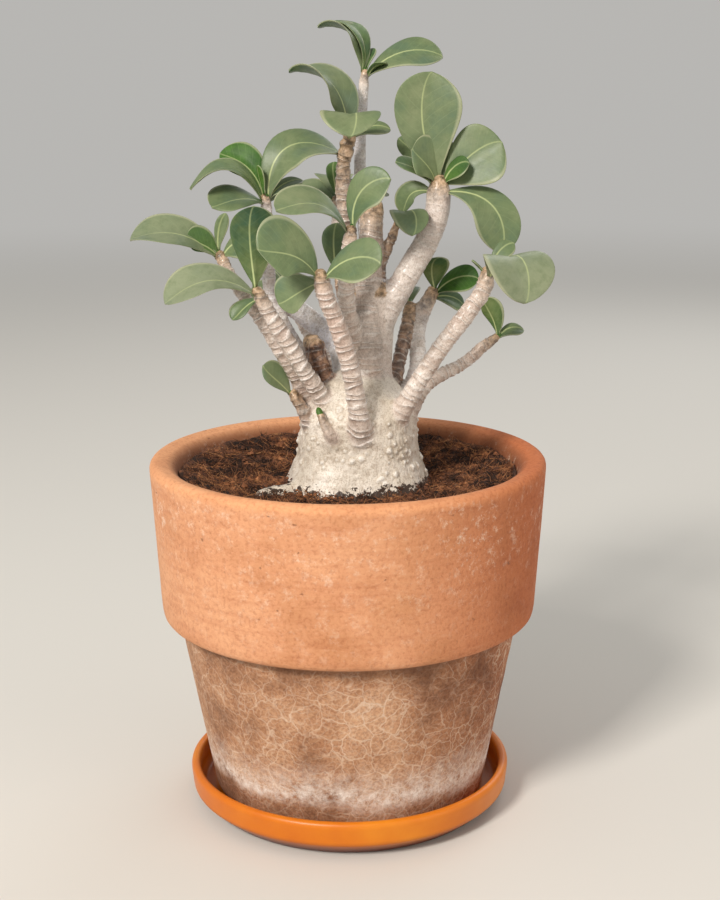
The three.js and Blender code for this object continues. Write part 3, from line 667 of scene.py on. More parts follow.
# %% Leaf table
ROSETTES = dict(
    far_left=[(-170, 12, 32, 20, 0.19, -54, 40, -0.3), (-168, 33, 13, 11, 0.12, -60, 0, 0.7),
              (10, 77, 14, 5, 0.05, 80, 0, 0.2), (-20, 22, 12, 11, 0.1, 60, 0, 0.2)],
    left=[(-172, -4, 32, 19, 0.23, -30, 0, -0.6), (-85, 79, 29, 17, 0.06, 0, 0, 0.1),
          (-160, -36, 12, 7, 0.1, -40, 0, 0.3)],
    upper_left=[(5, 32, 31, 21, 0.33, 78, -65, 0.1), (158, 42, 24, 14, 0.2, -50, 0, 0.9),
                (-160, 10, 28, 16, 0.36, -50, 60, 0.3), (-150, -3, 21, 17, 0.12, -30, 0, 0.1),
                (-138, 74, 11, 4, 0, 0, 0, 0.8), (78, 79, 11, 4, 0, 0, 0, 0.8),
                (30, 25, 16, 8, 0.1, 20, 0, 0.4), (45, 9, 13, 7, 0.1, 20, 0, 0.3)],
    sprout=[(-165, 48, 15, 10, 0.05, -60, 0, 0.0)],
    front=[(-154, 25, 24, 23, 0.18, -60, 0, 0.15), (-30, 14, 22.5, 18, 0.12, 55, 0, 0.1),
           (160, -27, 17, 15, 0.06, -70, 0, 0.1)],
    centre=[(-160, 17, 27.5, 19, 0.24, -30, 0, 0), (-18, 51, 22, 15, 0.2, 70, 0, 0.2)],
    inner=[(80, 80, 18, 11, 0.03, 0, 0, 0.3)],
    crown=[(-165, 45, 31, 23, 0.27, -95, 110, 0), (-88, 1, 19, 22, 0.42, 0, 0, 0.1),
           (7, 9, 14, 8, 0.12, 40, 0, 0.2)],
    top=[(0, 13, 29, 17, 0.14, 40, 0, 0.15), (-169, 44, 23.5, 16, 0.31, -80, 95, 0.1),
         (150, 53, 23, 11, 0.3, -5, 0, 0.6), (60, 56, 10, 6, 0.1, 0, 0, 0.7),
         (-26, 26, 9, 7, 0.1, 0, 0, 0.5)],
    right_high=[(0, 94, 38, 25, 0.065, 84, 0, 0), (-5, 35, 26, 24, 0.03, 72, 0, 0.1),
                (-150, 50, 16, 18, 0.12, -72, 0, 0.1), (-165, 30, 17, 9, 0.1, -40, 0, 0.3),
                (-30, 36, 13, 9, 0.1, 62, 0, 0.8), (145, 45, 23, 10, 0.1, -50, 0, 0.3),
                (55, 62, 16, 12, 0.08, 40, 0, 0.3), (164, -34, 14, 10, 0.35, -60, 0, 0.2),
                (-15, -45, 31, 18, 0.26, 30, 40, 0.1)],
    side=[(-70, -12, 15, 15, 0.45, 0, 0, 0.1)],
    right=[(-62, -17, 24, 28, 0.5, 0, 0, -0.6), (20, 45, 13, 7, 0.1, 50, 0, 0.2),
           (180, 40, 6, 3, 0, 0, 0, 0.5)],
    back_right=[(-80, 66, 14, 11, 0.1, 0, 0, 0.2), (-15, 19, 18, 13, 0.12, 50, 0, 0.9),
                (10, -20, 13, 10, 0.1, 40, 0, 0.5)],
    right_low=[(11, 14, 11, 7, 0.15, 35, 0, 0.3), (170, 68, 15, 9, 0.1, 70, 0, 0.3)],
    dark=[(125, 0, 18, 12, 0.2, -10, 0, 0.2), (95, 20, 16, 11, 0.2, 10, 0, 0.3)],
    back_high=[(150, 5, 24, 15, 0.2, -20, 0, 0.1), (95, 15, 27, 16, 0.2, 0, 0, 0),
               (40, 5, 24, 15, 0.2, 20, 0, 0.1), (100, 70, 14, 8, 0.1, 0, 0, 0.7)],
    back_low=[(165, -5, 16, 11, 0.2, -40, 0, 0.1), (120, 10, 26, 15, 0.25, -10, 0, 0),
              (70, 5, 24, 15, 0.2, 10, 0, 0.1), (140, 70, 12, 7, 0.1, 0, 0, 0.7)],
)
print("leaves:", sum(map(len, ROSETTES.values())))


# %% One leaf
def about(vectors, axes, angles):
    """Turns vectors about axes by angles, with Rodrigues' formula."""
    c, s = np.cos(angles)[..., None], np.sin(angles)[..., None]
    dot = (vectors * axes).sum(-1)[..., None]
    return vectors * c + np.cross(axes, vectors) * s + axes * dot * (1 - c)


def leaf(foot, row, seed):
    """A closed blade over (s, t): s runs from foot to tip and t across, with its columns crowded to the
    edges. Returns the blade and, for each point, its chart and its look.

    Midrib: foot + s L along + 4 arch L s (1 - s) over. Half width: W/2 s^0.9 (1 - s^2.8)^0.65 / 0.54.
    Both halves fold up by 8 degrees, the edge waves a little, the midrib is a groove above and a keel
    below, and the blade thins to a rounded edge."""
    turn, rise, length, width, arch, roll, twist, tint = row
    a, e, fold = np.radians(turn), np.radians(rise), np.radians(8)
    d = np.array([np.cos(e) * np.cos(a), np.cos(e) * np.sin(a), np.sin(e)])
    level = np.array([np.sin(a), -np.cos(a), 0.0])
    over = np.cross(level, d)
    rows, half_columns = (26, 8) if length > 15 else (16, 5)
    s = np.sin(np.linspace(0, np.pi / 2, rows)) * 0.6 + np.linspace(0, 1, rows) * 0.4
    heading = d + (arch * 4 * (1 - 2 * s))[:, None] * over
    heading /= np.linalg.norm(heading, axis=1)[:, None]
    rolled = np.radians(roll + twist * s)
    side = about(np.broadcast_to(level, heading.shape), heading, rolled)
    face = about(np.cross(level, heading), heading, rolled)
    half = width / 2 * s**0.9 * np.clip(1 - s**2.8, 0, None) ** 0.65 / 0.54
    half = np.maximum(np.maximum(half, 0.8 * (1 - s**4)), 0.12)
    rib = foot + (s * length * 0.994)[:, None] * d + (arch * length * 4 * s * (1 - s))[:, None] * over
    columns = 2 * half_columns + 1
    t = np.concatenate([np.linspace(-1, 1, columns), np.linspace(1, -1, columns)[1:-1]])
    t = np.sin(t * np.pi / 2)[None, :]
    f = np.concatenate([np.ones(columns), -np.ones(columns - 2)])[None, :]
    h, sg = half[:, None], s[:, None]
    phase = np.random.default_rng(seed).uniform(0, 6.28)
    wave = width * 0.02 * t**2 * np.sin(11 * sg + phase + np.sign(t)) * sg
    thick = 0.28 * np.sqrt(np.clip(1 - np.abs(t) ** 5, 0, 1)) + 0.05
    veins = sg * 9 - np.abs(t) * h / length * 7
    puff = 0.10 * np.abs(np.sin(np.pi * veins)) * np.clip(h * (1 - np.abs(t)) / 2, 0, 1)
    middle = np.exp(-(t * h / 0.7) ** 2) * np.clip(1.15 - sg, 0, 1)
    lift = wave + f * thick + puff + np.where(f > 0, -0.22, -0.5) * middle
    out = np.abs(t) * h * np.sin(fold) + lift
    rings = rib[:, None] + (t * h * np.cos(fold))[..., None] * side[:, None] + out[..., None] * face[:, None]
    chart, look = [
        np.stack([np.broadcast_to(v, out.shape) for v in three], -1)
        for three in ((veins, np.abs(t) * h, sg), (f * 0.5 + 0.5, np.abs(t), tint))]
    ends = [np.concatenate([v.reshape(-1, 3), v[:1].mean(1), v[-1:].mean(1)]) for v in (chart, look)]
    return tube(rings[:, ::-1]), *ends


print("longest leaf:", max(row[2] for rows in ROSETTES.values() for row in rows), "mm")

# %% [markdown]
# ## Leaf finish
#
# The upper side is a sage green with the soft, uneven shine of a thin bloom, and the underside is paler.
# The midrib and the side veins are lighter lines, drawn from the blade's own chart so that they follow
# each leaf. Young leaves are a brighter, yellower green, and the oldest are dusty.

# %% The leaf's own patterns
# Patches of 17 mm, blotches of 4 mm and a grain of 0.9 mm. The midrib is a line 0.8 mm wide.
green, tree, shader = material("sage_leaf", "#7E9168", 0.42, 1.42)
(vein_at, from_rib, to_tip), (upper, to_edge, youth) = [
    add(tree, "SeparateXYZ", [vector.node.outputs["Vector"]]).node.outputs
    for vector in [add(tree, "Attribute", attribute_name=name) for name in ("leaf_chart", "leaf_look")]]
place = add(tree, "TexCoord").node.outputs["Object"]
patch, grain, blotch = [
    add(tree, "TexNoise", {"Vector": place, "Scale": scale_for(mm), "Detail": detail, "Roughness": rough})
    for mm, detail, rough in ((16.7, 5.0, 0.6), (0.909, 2.0, 0.5), (3.85, 5.0, 0.7))]
vein = add(tree, "Math", [patch, 0.5, vein_at], operation="MULTIPLY_ADD")
for operation in ("FRACT", "SUBTRACT", "ABSOLUTE"):
    vein = add(tree, "Math", [vein, 0.5], operation=operation)
vein = add(tree, "MapRange", [vein, 0.44, 0.5, 0.0, 0.13])
rib_line = add(tree, "MapRange", [from_rib, 0.12, 0.42, 0.85, 0.0])
rib_fade = add(tree, "MapRange", [to_tip, 0.2, 1.0, 1.0, 0.35])
rib_line = add(tree, "Math", [rib_line, rib_fade], operation="MULTIPLY")
edge = add(tree, "MapRange", [to_edge, 0.93, 0.98, 0.0, 0.5])
print("leaf patterns:", len(tree.nodes), "nodes")

# %% The leaf's colours, shine and relief
sage = add(tree, "ValToRGB", [patch], [(0.36, "#3D5C43"), (0.5, "#5E6F44"), (0.64, "#777F57")])
bright = add(tree, "ValToRGB", [patch], [(0.3, "#16440A"), (0.7, "#427412")])
mottle = add(tree, "ValToRGB", [blotch], [(0.36, "#C3CEB8"), (0.5, "#F2F4EE"), (0.62, "#FFFFFF")])
dusty = add(tree, "MapRange", [youth, 0.0, -1.0, 0.0, 1.0])
pale = add(tree, "MapRange", [youth, 0.0, 1.0, 0.4, 0.0])
colour = sage
for share, coat, blend in ((youth, bright, "MIX"), (dusty, "#979B82", "MIX"), (0.8, mottle, "MULTIPLY")):
    colour = add(tree, "Mix", {0: share, 6: colour, 7: coat}, data_type="RGBA", blend_type=blend)
under = add(tree, "Mix", {0: pale, 6: colour, 7: "#7F8C6F"}, data_type="RGBA")
colour = add(tree, "Mix", {0: upper, 6: under, 7: colour}, data_type="RGBA")
for share, coat in ((vein, "#9FAD84"), (rib_line, "#B9C48D"), (edge, "#B8B99A")):
    colour = add(tree, "Mix", {0: share, 6: colour, 7: coat}, data_type="RGBA")
bloom = add(tree, "MapRange", [patch, 0.3, 0.7, 0.34, 0.52])
bump = add(tree, "Bump", {"Strength": 0.2, "Distance": 0.2 * MM, "Height": grain})
wire(tree, shader, Base_Color=colour, Roughness=bloom, Normal=bump)
print("leaf nodes:", len(tree.nodes))


# %% The rosettes
def plain_green(points, tint):
    """The leaf attributes of a shoot or bud: no veins, upper side, one tint."""
    return np.tile([0.0, 3.0, 0.5], (len(points), 1)), np.tile([1.0, 0.2, tint], (len(points), 1))


def rosette(name):
    """The leaves of one branch and the green shoot that carries them, as one piece. The shoot is a chain
    of rings, a little three-cornered, that taper and close at the tip."""
    line, tangent, at = grown_line(BRANCHES[name][2:], 0.5)
    radius = BRANCHES[name][1]
    parts = []
    for i, row in enumerate(ROSETTES[name]):
        turn, rise = np.radians(row[:2])
        height = np.clip((row[1] + 50) / 140, 0.15, 1)
        foot = line[-1] - tangent[-1] * SHOOT * (1 - height)
        foot = foot + np.array([np.cos(turn), np.sin(turn), 0]) * radius * 0.5 * np.cos(rise)
        parts.append(leaf(foot, row, 10 * len(name) + i))
    keep = at >= at[-1] - SHOOT - 0.2
    side, up = cross_frame(tangent[keep])
    share = (at[keep] - at[keep][0]) / SHOOT
    core = radius * (0.6 - 0.1 * share - 0.35 * np.clip(share - 0.8, 0, 0.2) * 5)
    ring = np.linspace(0, 2 * np.pi, 16, endpoint=False)
    wobble = 1 + 0.06 * np.sin(3 * ring[None] + 5 * share[:, None])
    rings = line[keep][:, None] + (core[:, None] * wobble)[..., None] * (
        np.cos(ring)[None, :, None] * side[:, None] + np.sin(ring)[None, :, None] * up[:, None])
    shoot = tube(rings)
    parts.append((shoot, *plain_green(shoot[0], 0.7)))
    shapes, charts, looks = zip(*parts)
    piece("rosette_" + name, joined(shapes), green, "leaves_" + name,
          dict(leaf_chart=np.concatenate(charts), leaf_look=np.concatenate(looks)))


for name in ROSETTES:
    rosette(name)

# %% The green point of the low bud
# An egg of rings about the bud's end: 2.4 mm half long and 1.25 mm half wide.
line, tangent, _ = grown_line(BRANCHES["bud"][2:], 0.5)
side, up = cross_frame(tangent[-1:])
share, ring = np.linspace(-0.95, 0.98, 12)[:, None], np.linspace(0, 2 * np.pi, 14, endpoint=False)[None]
across = (1.25 * np.sqrt(1 - share**2))[..., None]
rings = line[-1] + 2.4 * share[..., None] * tangent[-1] + across * (
    np.cos(ring)[..., None] * side + np.sin(ring)[..., None] * up)
point = tube(rings)
chart, look = plain_green(point[0], 0.8)
piece("bud_point", point, green, None, dict(leaf_chart=chart, leaf_look=look))

# %% [markdown]
# ## Pot and saucer
#
# Both are turned shapes, thrown or pressed and fired without glaze, so a profile carried round the axis
# gives them, with soft arrises and a hair of unevenness. Only the surface tells their stories: the pot
# has stood outdoors and salts have bloomed on it, while the saucer is nearly new.


# %% A turned shape
def softened(profile, spacing, width):
    """The profile resampled at even spacing, then blurred along its length so that corners are rounded."""
    p = np.array(profile, float)
    far = np.concatenate([[0], np.cumsum(np.linalg.norm(np.diff(p, axis=0), axis=1))])
    at = np.linspace(0, far[-1], int(far[-1] / spacing) + 1)
    p = np.stack([np.interp(at, far, p[:, i]) for i in range(2)], 1)
    reach = int(3 * width / spacing) + 1
    weights = np.exp(-0.5 * (np.arange(-reach, reach + 1) * spacing / width) ** 2)
    padded = np.pad(p, ((reach, reach), (0, 0)), mode="reflect", reflect_type="odd")
    return np.stack([np.convolve(padded[:, i], weights / weights.sum(), "valid") for i in range(2)], 1)


def turned(profile, around, uneven, seed):
    """A profile of (radius, height) carried round Z: (r cos a, r sin a, z), with r off by a fraction of
    a millimetre that varies slowly. The profile's ends lie on the axis or meet."""
    r, z = profile.T
    a = np.linspace(0, 2 * np.pi, around, endpoint=False)
    tall = np.broadcast_to(z[:, None], (len(r), around))
    points = np.stack([r[:, None] * np.cos(a), r[:, None] * np.sin(a), tall], -1)
    turning_marks = uneven * 0.6 * np.sin(z / 1.9)[:, None] * clouds(points, 30, seed + 1)
    off = uneven * clouds(points, 14, seed) + turning_marks
    scale = 1 + (off - uneven) / np.maximum(r, 20)[:, None]
    points[..., :2] *= scale[..., None]
    return points


def bow(r, z, radius, stop):
    """Eight points on a circle's arc about (r, z), from level outwards to the angle stop in degrees."""
    a = np.radians(np.linspace(0, stop, 8))
    return list(zip(r + radius * np.cos(a), z + radius * np.sin(a)))


COLLAR_FOOT, RIM_RADIUS, COLLAR_TALL = 75, 75, 61.3
RIM_TILT = 1.15  # mm up at the back and down at the front
pot_profile = [(9, 5.3), (51.4, 5.3), (53, 7.5), (65.4, 75), (69.1, 75), (71.1, 76.6), (71.7, 79.8),
               *bow(72.2, 133.5, 2.8, 90),
               (68.5, 135.3), (66.2, 133.9), (64.8, 131.8), (64.1, 129), (46, 14.3), (9, 14.3), (9, 5.3)]
saucer_profile = [(0, 0), (55, 0), (61.8, 6), *bow(60.8, 13.3, 1.8, 180), (59, 7.2), (57, 5), (0, 5)]
AROUND = 224
pot_rings = turned(softened(pot_profile, 1.0, 0.7), AROUND, 0.12, 21)
above_foot = np.clip((pot_rings[..., 2] - COLLAR_FOOT) / COLLAR_TALL, 0, None)
pot_rings[..., 2] += RIM_TILT / RIM_RADIUS * pot_rings[..., 1] * above_foot
saucer_rings = turned(softened(saucer_profile, 0.7, 0.45), AROUND, 0.03, 23)
print("pot rings:", pot_rings.shape, "saucer rings:", saucer_rings.shape)

# %% [markdown]
# ## Weathered clay
#
# Unglazed clay is matt and gritty. On the collar it keeps its orange, broken by paler clouds, white flecks
# of lime under the rim and a few dark pits. Below the collar the wall was wet for years: it is brown-grey,
# crossed by a net of pale lines, with a white tide mark low down, just above the saucer. The inner wall
# above the soil is darkened with painted shade, and so are the pot's right side and a band under the
# collar, while the top of the lip carries a painted highlight.

# %% The clay's own patterns
# Clouds of 36 mm, grit of 1.4 mm, lime flecks of 4 mm and a net with cells 8 and 3 mm wide.
clay, tree, shader = material("weathered_clay", "#C98A62", 0.88)
place = add(tree, "TexCoord").node.outputs["Object"]
rightwards, backwards, height = add(tree, "SeparateXYZ", [place]).node.outputs
flat_place = add(tree, "Mapping", {"Vector": place, "Scale": (1.0, 1.0, 0.0)})
from_axis = add(tree, "VectorMath", [flat_place], operation="LENGTH")
level = add(tree, "Math", [backwards, -RIM_TILT / RIM_RADIUS, height], operation="MULTIPLY_ADD")
banded = add(tree, "Mapping", {"Vector": place, "Scale": (1.0, 1.0, 7.0)})
cloud, grit, fleck, peppery, salty, streaky, bend, crinkle = [
    add(tree, "TexNoise", {"Vector": at, "Scale": scale_for(mm), "Detail": detail, "Roughness": rough})
    for at, mm, detail, rough in (
        (place, 35.7, 5.0, 0.6), (place, 1.429, 5.0, 0.65), (place, 4.35, 8.0, 0.85), (place, 1.0, 3.0, 0.5),
        (place, 50, 2.0, 0.5), (banded, 22.2, 5.0, 0.6), (place, 12.5, 3.0, 0.5), (place, 2.38, 3.0, 0.5))]
moved = place
for wave, mm in ((bend, 12), (crinkle, 2)):
    shift = add(tree, "VectorMath", {0: wave.node.outputs["Color"], "Scale": mm * MM}, operation="SCALE")
    moved = add(tree, "VectorMath", [moved, shift], operation="ADD")
net, small_net = [
    add(tree, "TexVoronoi", {"Vector": moved, "Scale": scale_for(mm)}, feature="DISTANCE_TO_EDGE")
    for mm in (7.7, 3.03)]
pit_cells = add(tree, "TexVoronoi", {"Vector": moved, "Scale": scale_for(9.1)})
print("clay patterns:", len(tree.nodes), "nodes")

# %% Where the weather has been, and where light and shade are painted
# Each result is a share from 0 to 1 over the pot. Heights and radii are in metres here, as the shader sees
# them: the collar's foot is at 0.075, the lip at 0.136, and the inner wall is 0.064 from the axis.
low_part = add(tree, "MapRange", [height, 0.076, 0.0745, 0.0, 1.0])
# A painted highlight makes the top of the lip lighter.
rim = add(tree, "MapRange", [level, 0.1318, 0.1342, 0.0, 0.85])
peppered = add(tree, "Math", [low_part, 0.35], operation="MULTIPLY")
# Painted shade: the pot's right side, turned from the main lamp, is darkened and warmed.
painted_right_shade = add(tree, "Math", [cloud, 0.03, rightwards], operation="MULTIPLY_ADD")
painted_right_shade = add(tree, "MapRange", [painted_right_shade, 0.03, 0.08, 0.0, 0.75])
# Painted shade on the inner wall above the soil.
painted_inner_shade = add(tree, "MapRange", [from_axis, 0.0685, 0.065, 0.0, 0.8])
painted_inner_shade = add(tree, "Math", [painted_inner_shade, add(tree, "MapRange", [height, 0.12, 0.121])], operation="MULTIPLY")
lime_zone = add(tree, "ValToRGB", [add(tree, "MapRange", [height, 0.0, 0.14])],
                [(0.50, 0.15), (0.75, 0.45), (0.86, 0.95), (0.93, 0.9), (0.965, 0.05)])
lime_spots = add(tree, "MapRange", [fleck, 0.53, 0.66, 0.0, 1.0])
salty = add(tree, "MapRange", [salty, 0.4, 0.62, 0.35, 1.0])
lime_spots = add(tree, "Math", [lime_spots, salty], operation="MULTIPLY")
lime = add(tree, "Math", [lime_zone, lime_spots], operation="MULTIPLY")
threads = add(tree, "MapRange", [net, 0.0, 0.05, 0.8, 0.0])
small_threads = add(tree, "MapRange", [small_net, 0.0, 0.08, 0.4, 0.0])
threads = add(tree, "Math", [threads, small_threads], operation="MAXIMUM")
for share in (add(tree, "MapRange", [cloud, 0.38, 0.6, 0.1, 1.0]), low_part):
    threads = add(tree, "Math", [threads, share], operation="MULTIPLY")
tide = add(tree, "Math", [cloud, 0.02], operation="MULTIPLY")
tide = add(tree, "Math", [tide, height], operation="ADD")
tide = add(tree, "ValToRGB", [add(tree, "MapRange", [tide, 0.0, 0.06])],
           [(0.42, 0.0), (0.52, 1.0), (0.6, 0.5), (0.76, 0.0)])
tide = add(tree, "Math", [tide, add(tree, "MapRange", [fleck, 0.38, 0.6])], operation="MULTIPLY")
# A painted shadow: a dark band just under the collar's overhang.
painted_neck_shadow = add(tree, "MapRange", [height, 0.0705, 0.0745, 0.0, 0.55])
painted_neck_shadow = add(tree, "Math", [painted_neck_shadow, low_part], operation="MULTIPLY")
pits = add(tree, "MapRange", [pit_cells, 0.03, 0.08, 0.65, 0.0])
print("clay nodes so far:", len(tree.nodes))

# %% The clay's colours and relief
orange = add(tree, "ValToRGB", [cloud], [(0.3, "#C68A60"), (0.5, "#D69A72"), (0.7, "#E0A880")])
brown = add(tree, "ValToRGB", [cloud], [(0.36, "#875F44"), (0.5, "#B28563"), (0.64, "#CFA684")])
grain = add(tree, "ValToRGB", [grit], [(0.36, "#D0B6A6"), (0.47, "#F4EAE3"), (0.6, "#FFFFFF")])
smear = add(tree, "ValToRGB", [streaky], [(0.34, "#C99F84"), (0.5, "#FFFFFF")])
pepper = add(tree, "ValToRGB", [peppery], [(0.4, "#94705A"), (0.5, "#E6D6CA"), (0.6, "#FFFFFF")])
colour = orange
for share, coat, blend in (
        (low_part, brown, "MIX"), (rim, "#E3A577", "MIX"), (0.22, smear, "MULTIPLY"),
        (0.5, grain, "MULTIPLY"), (peppered, pepper, "MULTIPLY"), (painted_right_shade, "#CF8D4A", "MULTIPLY"),
        (painted_inner_shade, "#7E4A2C", "MIX"), (lime, "#F0D9C4", "MIX"), (threads, "#D9BFA8", "MIX"),
        (tide, "#EADFD6", "MIX"), (painted_neck_shadow, "#6E4630", "MIX"), (pits, "#7A5038", "MIX")):
    colour = add(tree, "Mix", {0: share, 6: colour, 7: coat}, data_type="RGBA", blend_type=blend)
bump = add(tree, "Bump", {"Strength": 0.6, "Distance": 0.6 * MM, "Height": grit})
bump = add(tree, "Bump", {"Strength": 0.5, "Distance": 0.6 * MM, "Height": pits, "Normal": bump}, invert=True)
wire(tree, shader, Base_Color=colour, Normal=bump)
print("clay nodes:", len(tree.nodes))

# %% The pot piece
# The profile ends where it began, so the last ring of quads joins the last row to the first.
rows = len(pot_rings) - 1
last, j = (rows - 1) * AROUND, np.arange(AROUND)
k = (j + 1) % AROUND
pot_quads = np.concatenate([sleeve(rows, AROUND), np.stack([last + j, last + k, k, j], 1)])
piece("clay_pot", (pot_rings[:-1].reshape(-1, 3), pot_quads, NO_TRIANGLES), clay, "pot")

# %% [markdown]
# ## New clay
#
# The saucer is the same clay with a finer, tighter face: a saturated orange with a soft sheen. Its foot,
# which faces down, is darkened as painted shade.

# %% The saucer's material and piece
# Clouds of 22 mm and a grit of 1.1 mm; heights are in metres here, and the foot is 0.0075 tall.
fresh, tree, shader = material("smooth_clay", "#DB6F1C", 0.4)
place = add(tree, "TexCoord").node.outputs["Object"]
height = add(tree, "SeparateXYZ", [place]).node.outputs[2]
cloud, grit = [add(tree, "TexNoise", {"Vector": place, "Scale": scale_for(mm), "Detail": detail})
               for mm, detail in ((22.2, 4.0), (1.111, 2.0))]
body = add(tree, "ValToRGB", [cloud], [(0.3, "#CA6600"), (0.55, "#D57502"), (0.75, "#DE8410")])
# Painted shade darkens the foot, which faces down.
foot = add(tree, "MapRange", [height, 0.002, 0.0075, 1.0, 0.0])
colour = add(tree, "Mix", {0: foot, 6: body, 7: "#642400"}, data_type="RGBA")
bump = add(tree, "Bump", {"Strength": 0.15, "Distance": 0.2 * MM, "Height": grit})
wire(tree, shader, Base_Color=colour, Normal=bump)
piece("clay_saucer", tube(saucer_rings[1:-1]), fresh, "saucer")

# %% [markdown]
# ## Coir
#
# The plant stands in coir: dark crumbs and short brown fibres, a little higher against the wall. A crumbly
# surface closes the pot, and loose fibres and crumbs lie over it, each only a few faces, because there are
# thousands of them.

# %% The bed
SOIL_MIDDLE, WALL = 125, 64.1  # mm: the soil's height at the plant, and the pot's inner radius at the rim


def bed_height(x, y):
    """125 mm at the plant, rising with the cube of the radius to the wall, plus lumps of three sizes."""
    r = np.hypot(x, y)
    p = np.stack([x, y, 0 * x], -1)
    lumps = 1.1 * clouds(p, 7, 31) + 0.8 * clouds(p, 2.6, 32) + 0.45 * clouds(p, 1.1, 33)
    return SOIL_MIDDLE + (5.5 + 2.2 * y / WALL) * (r / WALL) ** 3 + lumps * np.clip((66 - r) / 3, 0.3, 1)


r = np.linspace(63.8, 0.4, 110)
a = np.linspace(0, 2 * np.pi, 360, endpoint=False)
x, y = r[:, None] * np.cos(a), r[:, None] * np.sin(a)
bed = np.stack([x, y, bed_height(x, y)], -1)
wall_r, wall_z = np.array([45.6, 55, 63.4]), np.array([[14.7], [70], [122]])
under_bed = np.stack([np.outer(wall_r, np.cos(a)), np.outer(wall_r, np.sin(a)),
                      np.broadcast_to(wall_z, (3, 360))], -1)
print("bed:", bed.shape, "from", bed[..., 2].min().round(1), "to", bed[..., 2].max().round(1), "mm")


# %% Fibres
BED_EDGE = 62.5  # mm from the axis: fibres that would pass it are drawn in


def scattered(count, seed, low, high):
    """Even random places on the bed between two radii from the pot's axis, clear of the plant."""
    rng = np.random.default_rng(seed)
    r, a = np.sqrt(rng.uniform(low**2, high**2, count)), rng.uniform(0, 2 * np.pi, count)
    x, y = r * np.cos(a), r * np.sin(a)
    clear = np.hypot(x - CAUDEX_CENTRE[0], y - CAUDEX_CENTRE[1]) > 25.0
    return x[clear], y[clear], rng


def fibres(count, seed):
    """Bent three-sided threads: the middle runs straight, bows sideways by a sine and lifts at its ends."""
    x, y, rng = scattered(count, seed, 5, 62)
    n, rows = len(x), 6
    length, heading = rng.gamma(2.2, 2.6, n) + 2, rng.uniform(0, 2 * np.pi, n)
    s = np.linspace(-0.5, 0.5, rows)
    bend, thick = rng.normal(0, 0.25, n), rng.uniform(0.08, 0.2, n)
    dx, dy = np.cos(heading)[:, None], np.sin(heading)[:, None]
    u = s[None] * length[:, None]
    v = (bend * length)[:, None] * np.cos(np.pi * s)[None]
    px, py = x[:, None] + u * dx - v * dy, y[:, None] + u * dy + v * dx
    inward = np.minimum(1, BED_EDGE / np.hypot(px, py))
    px, py = px * inward, py * inward
    lift = rng.uniform(0, 0.7, n)[:, None] + (rng.gamma(1.0, 0.9, n)[:, None] * np.abs(s * 2)[None] ** 2)
    pz = bed_height(px, py) + lift
    ring = np.array([0, 2.1, 4.2])
    taper = (thick[:, None] * (1 - 0.6 * np.abs(s * 2)[None] ** 2))[..., None]
    side, up = np.cos(ring)[None, None] * taper, np.sin(ring)[None, None] * taper
    points = np.stack([px[..., None] - side * dy[..., None], py[..., None] + side * dx[..., None],
                       pz[..., None] + up], -1)
    return points, rng.uniform(0, 1, n)


def many_tubes(points):
    """The faces of many equal small tubes at once; each end is closed by one triangle."""
    n, rows, columns, _ = points.shape
    top = (rows - 1) * columns
    ends = np.array([[0, 2, 1], [top, top + 1, top + 2]])
    start = (np.arange(n) * rows * columns)[:, None, None]
    quads = (sleeve(rows, columns)[None] + start).reshape(-1, 4)
    return points.reshape(-1, 3), quads, (ends[None] + start).reshape(-1, 3)


threads, thread_shade = fibres(5200, 41)
print("fibres:", len(threads))


# %% Crumbs
def crumbs(x, y, z, size, rng):
    """Small lumps: eight-faced stones, each corner pushed in or out by its own amount."""
    n = len(x)
    corners = np.array([(1, 0, 0), (0, 1, 0), (-1, 0, 0), (0, -1, 0), (0, 0, 0.8), (0, 0, -0.8)], float)
    faces = np.array([(0, 1, 4), (1, 2, 4), (2, 3, 4), (3, 0, 4), (1, 0, 5), (2, 1, 5), (3, 2, 5), (0, 3, 5)])
    spin = rng.uniform(0, 2 * np.pi, n)
    c, s = np.cos(spin)[:, None], np.sin(spin)[:, None]
    p = corners[None] * rng.uniform(0.6, 1.25, (n, 6, 1)) * size[:, None, None]
    p = np.stack([p[..., 0] * c - p[..., 1] * s, p[..., 0] * s + p[..., 1] * c, p[..., 2]], -1)
    p += np.stack([x, y, z], 1)[:, None]
    start = (np.arange(n) * 6)[:, None, None]
    return p.reshape(-1, 3), NO_QUADS, (faces[None] + start).reshape(-1, 3)


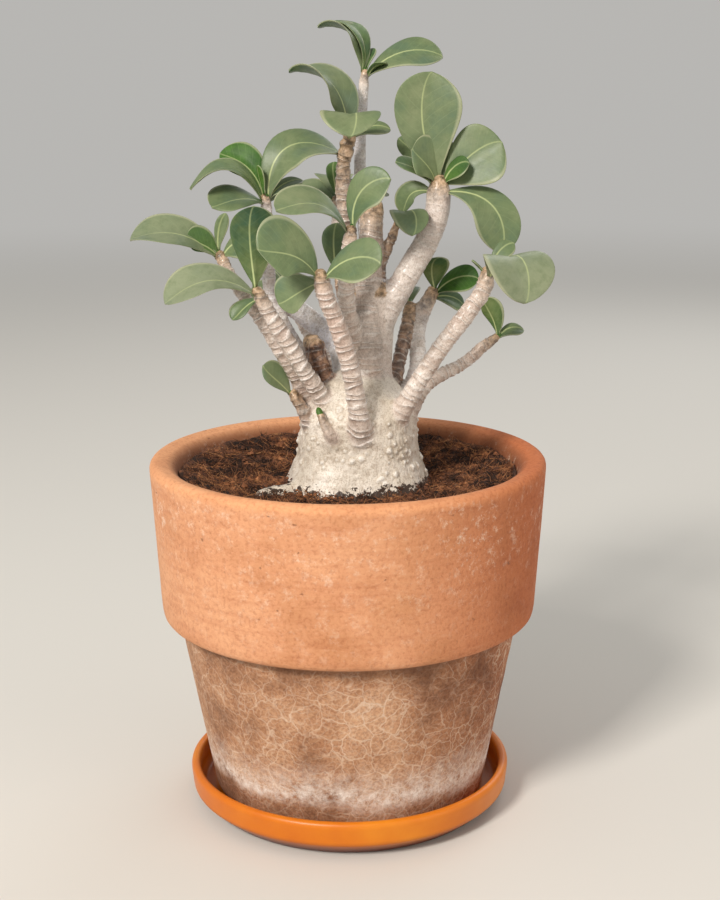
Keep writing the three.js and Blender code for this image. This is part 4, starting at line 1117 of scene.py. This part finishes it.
FOOT_CRUMBS = 2600  # tried places at the caudex's foot; where the clouds allow, a crumb sticks
x, y, rng = scattered(5200, 42, 3, 61.5)
size = rng.gamma(2.0, 0.28, len(x)) + 0.25
loose = crumbs(x, y, bed_height(x, y) + 0.2, size, rng)
foot_angle = rng.uniform(0, 2 * np.pi, FOOT_CRUMBS)
foot_z = 124.5 + rng.gamma(1.4, 2.4, FOOT_CRUMBS)
foot_place = round_caudex(caudex_radius(foot_angle, foot_z) + 0.2, foot_angle, foot_z)
stuck = clouds(foot_place, 3.2, 51) + 0.25 > (foot_z - 127) / 4
x, y, z = foot_place[stuck].T
foot_crumbs = crumbs(x, y, z, rng.gamma(2.0, 0.13, len(x)) + 0.12, rng)
all_crumbs = joined([loose, foot_crumbs])
print("crumbs:", len(all_crumbs[0]) // 6, "of them on the caudex:", len(x))

# %% The coir's material
# Coir is the ground husk of coconuts, dry fibre and dust, so it scatters light and hardly shines. Each
# fibre and crumb has its own shade, and wet parts, a centimetre wide, are darker.
coir, tree, shader = material("loose_coir", "#3B2A1F", 0.95, 1.45)
shade = add(tree, "Attribute", attribute_name="coir_shade").node.outputs["Vector"]
shade = add(tree, "SeparateXYZ", [shade]).node.outputs[0]
place = add(tree, "TexCoord").node.outputs["Object"]
cloud = add(tree, "TexNoise", {"Vector": place, "Scale": scale_for(4.17), "Detail": 5.0, "Roughness": 0.7})
wet = add(tree, "TexNoise", {"Vector": place, "Scale": scale_for(11.8), "Detail": 3.0})
wet = add(tree, "MapRange", [wet, 0.38, 0.6, -0.28, 0.16])
mixed = add(tree, "Math", [shade, add(tree, "Math", [cloud, 0.5], operation="SUBTRACT")], operation="ADD")
mixed = add(tree, "Math", [mixed, wet], operation="ADD")
tone = add(tree, "ValToRGB", [mixed],
           [(0.0, "#241710"), (0.3, "#5A3827"), (0.65, "#98623F"), (1.0, "#C28B5C")])
bump = add(tree, "Bump", {"Strength": 0.8, "Distance": 0.8 * MM, "Height": cloud})
wire(tree, shader, Base_Color=tone, Normal=bump)
print("coir nodes:", len(tree.nodes))

# %% The coir pieces
bed_shape = tube(np.concatenate([under_bed, bed]))
bed_shade = np.full(len(bed_shape[0]), 0.3)
fibre_shade = np.repeat(thread_shade**1.6, threads.shape[1] * 3) * 0.9 + 0.1
crumb_shade = np.repeat(rng.uniform(0.05, 0.6, len(all_crumbs[0]) // 6), 6)
for name, shape, node, shade, smooth in (
        ("coir_bed", bed_shape, "soil", bed_shade, True),
        ("coir_fibres", many_tubes(threads), None, fibre_shade, True),
        ("coir_crumbs", all_crumbs, None, crumb_shade, False)):
    piece(name, shape, coir, node, dict(coir_shade=np.stack([shade] * 3, 1)), smooth)
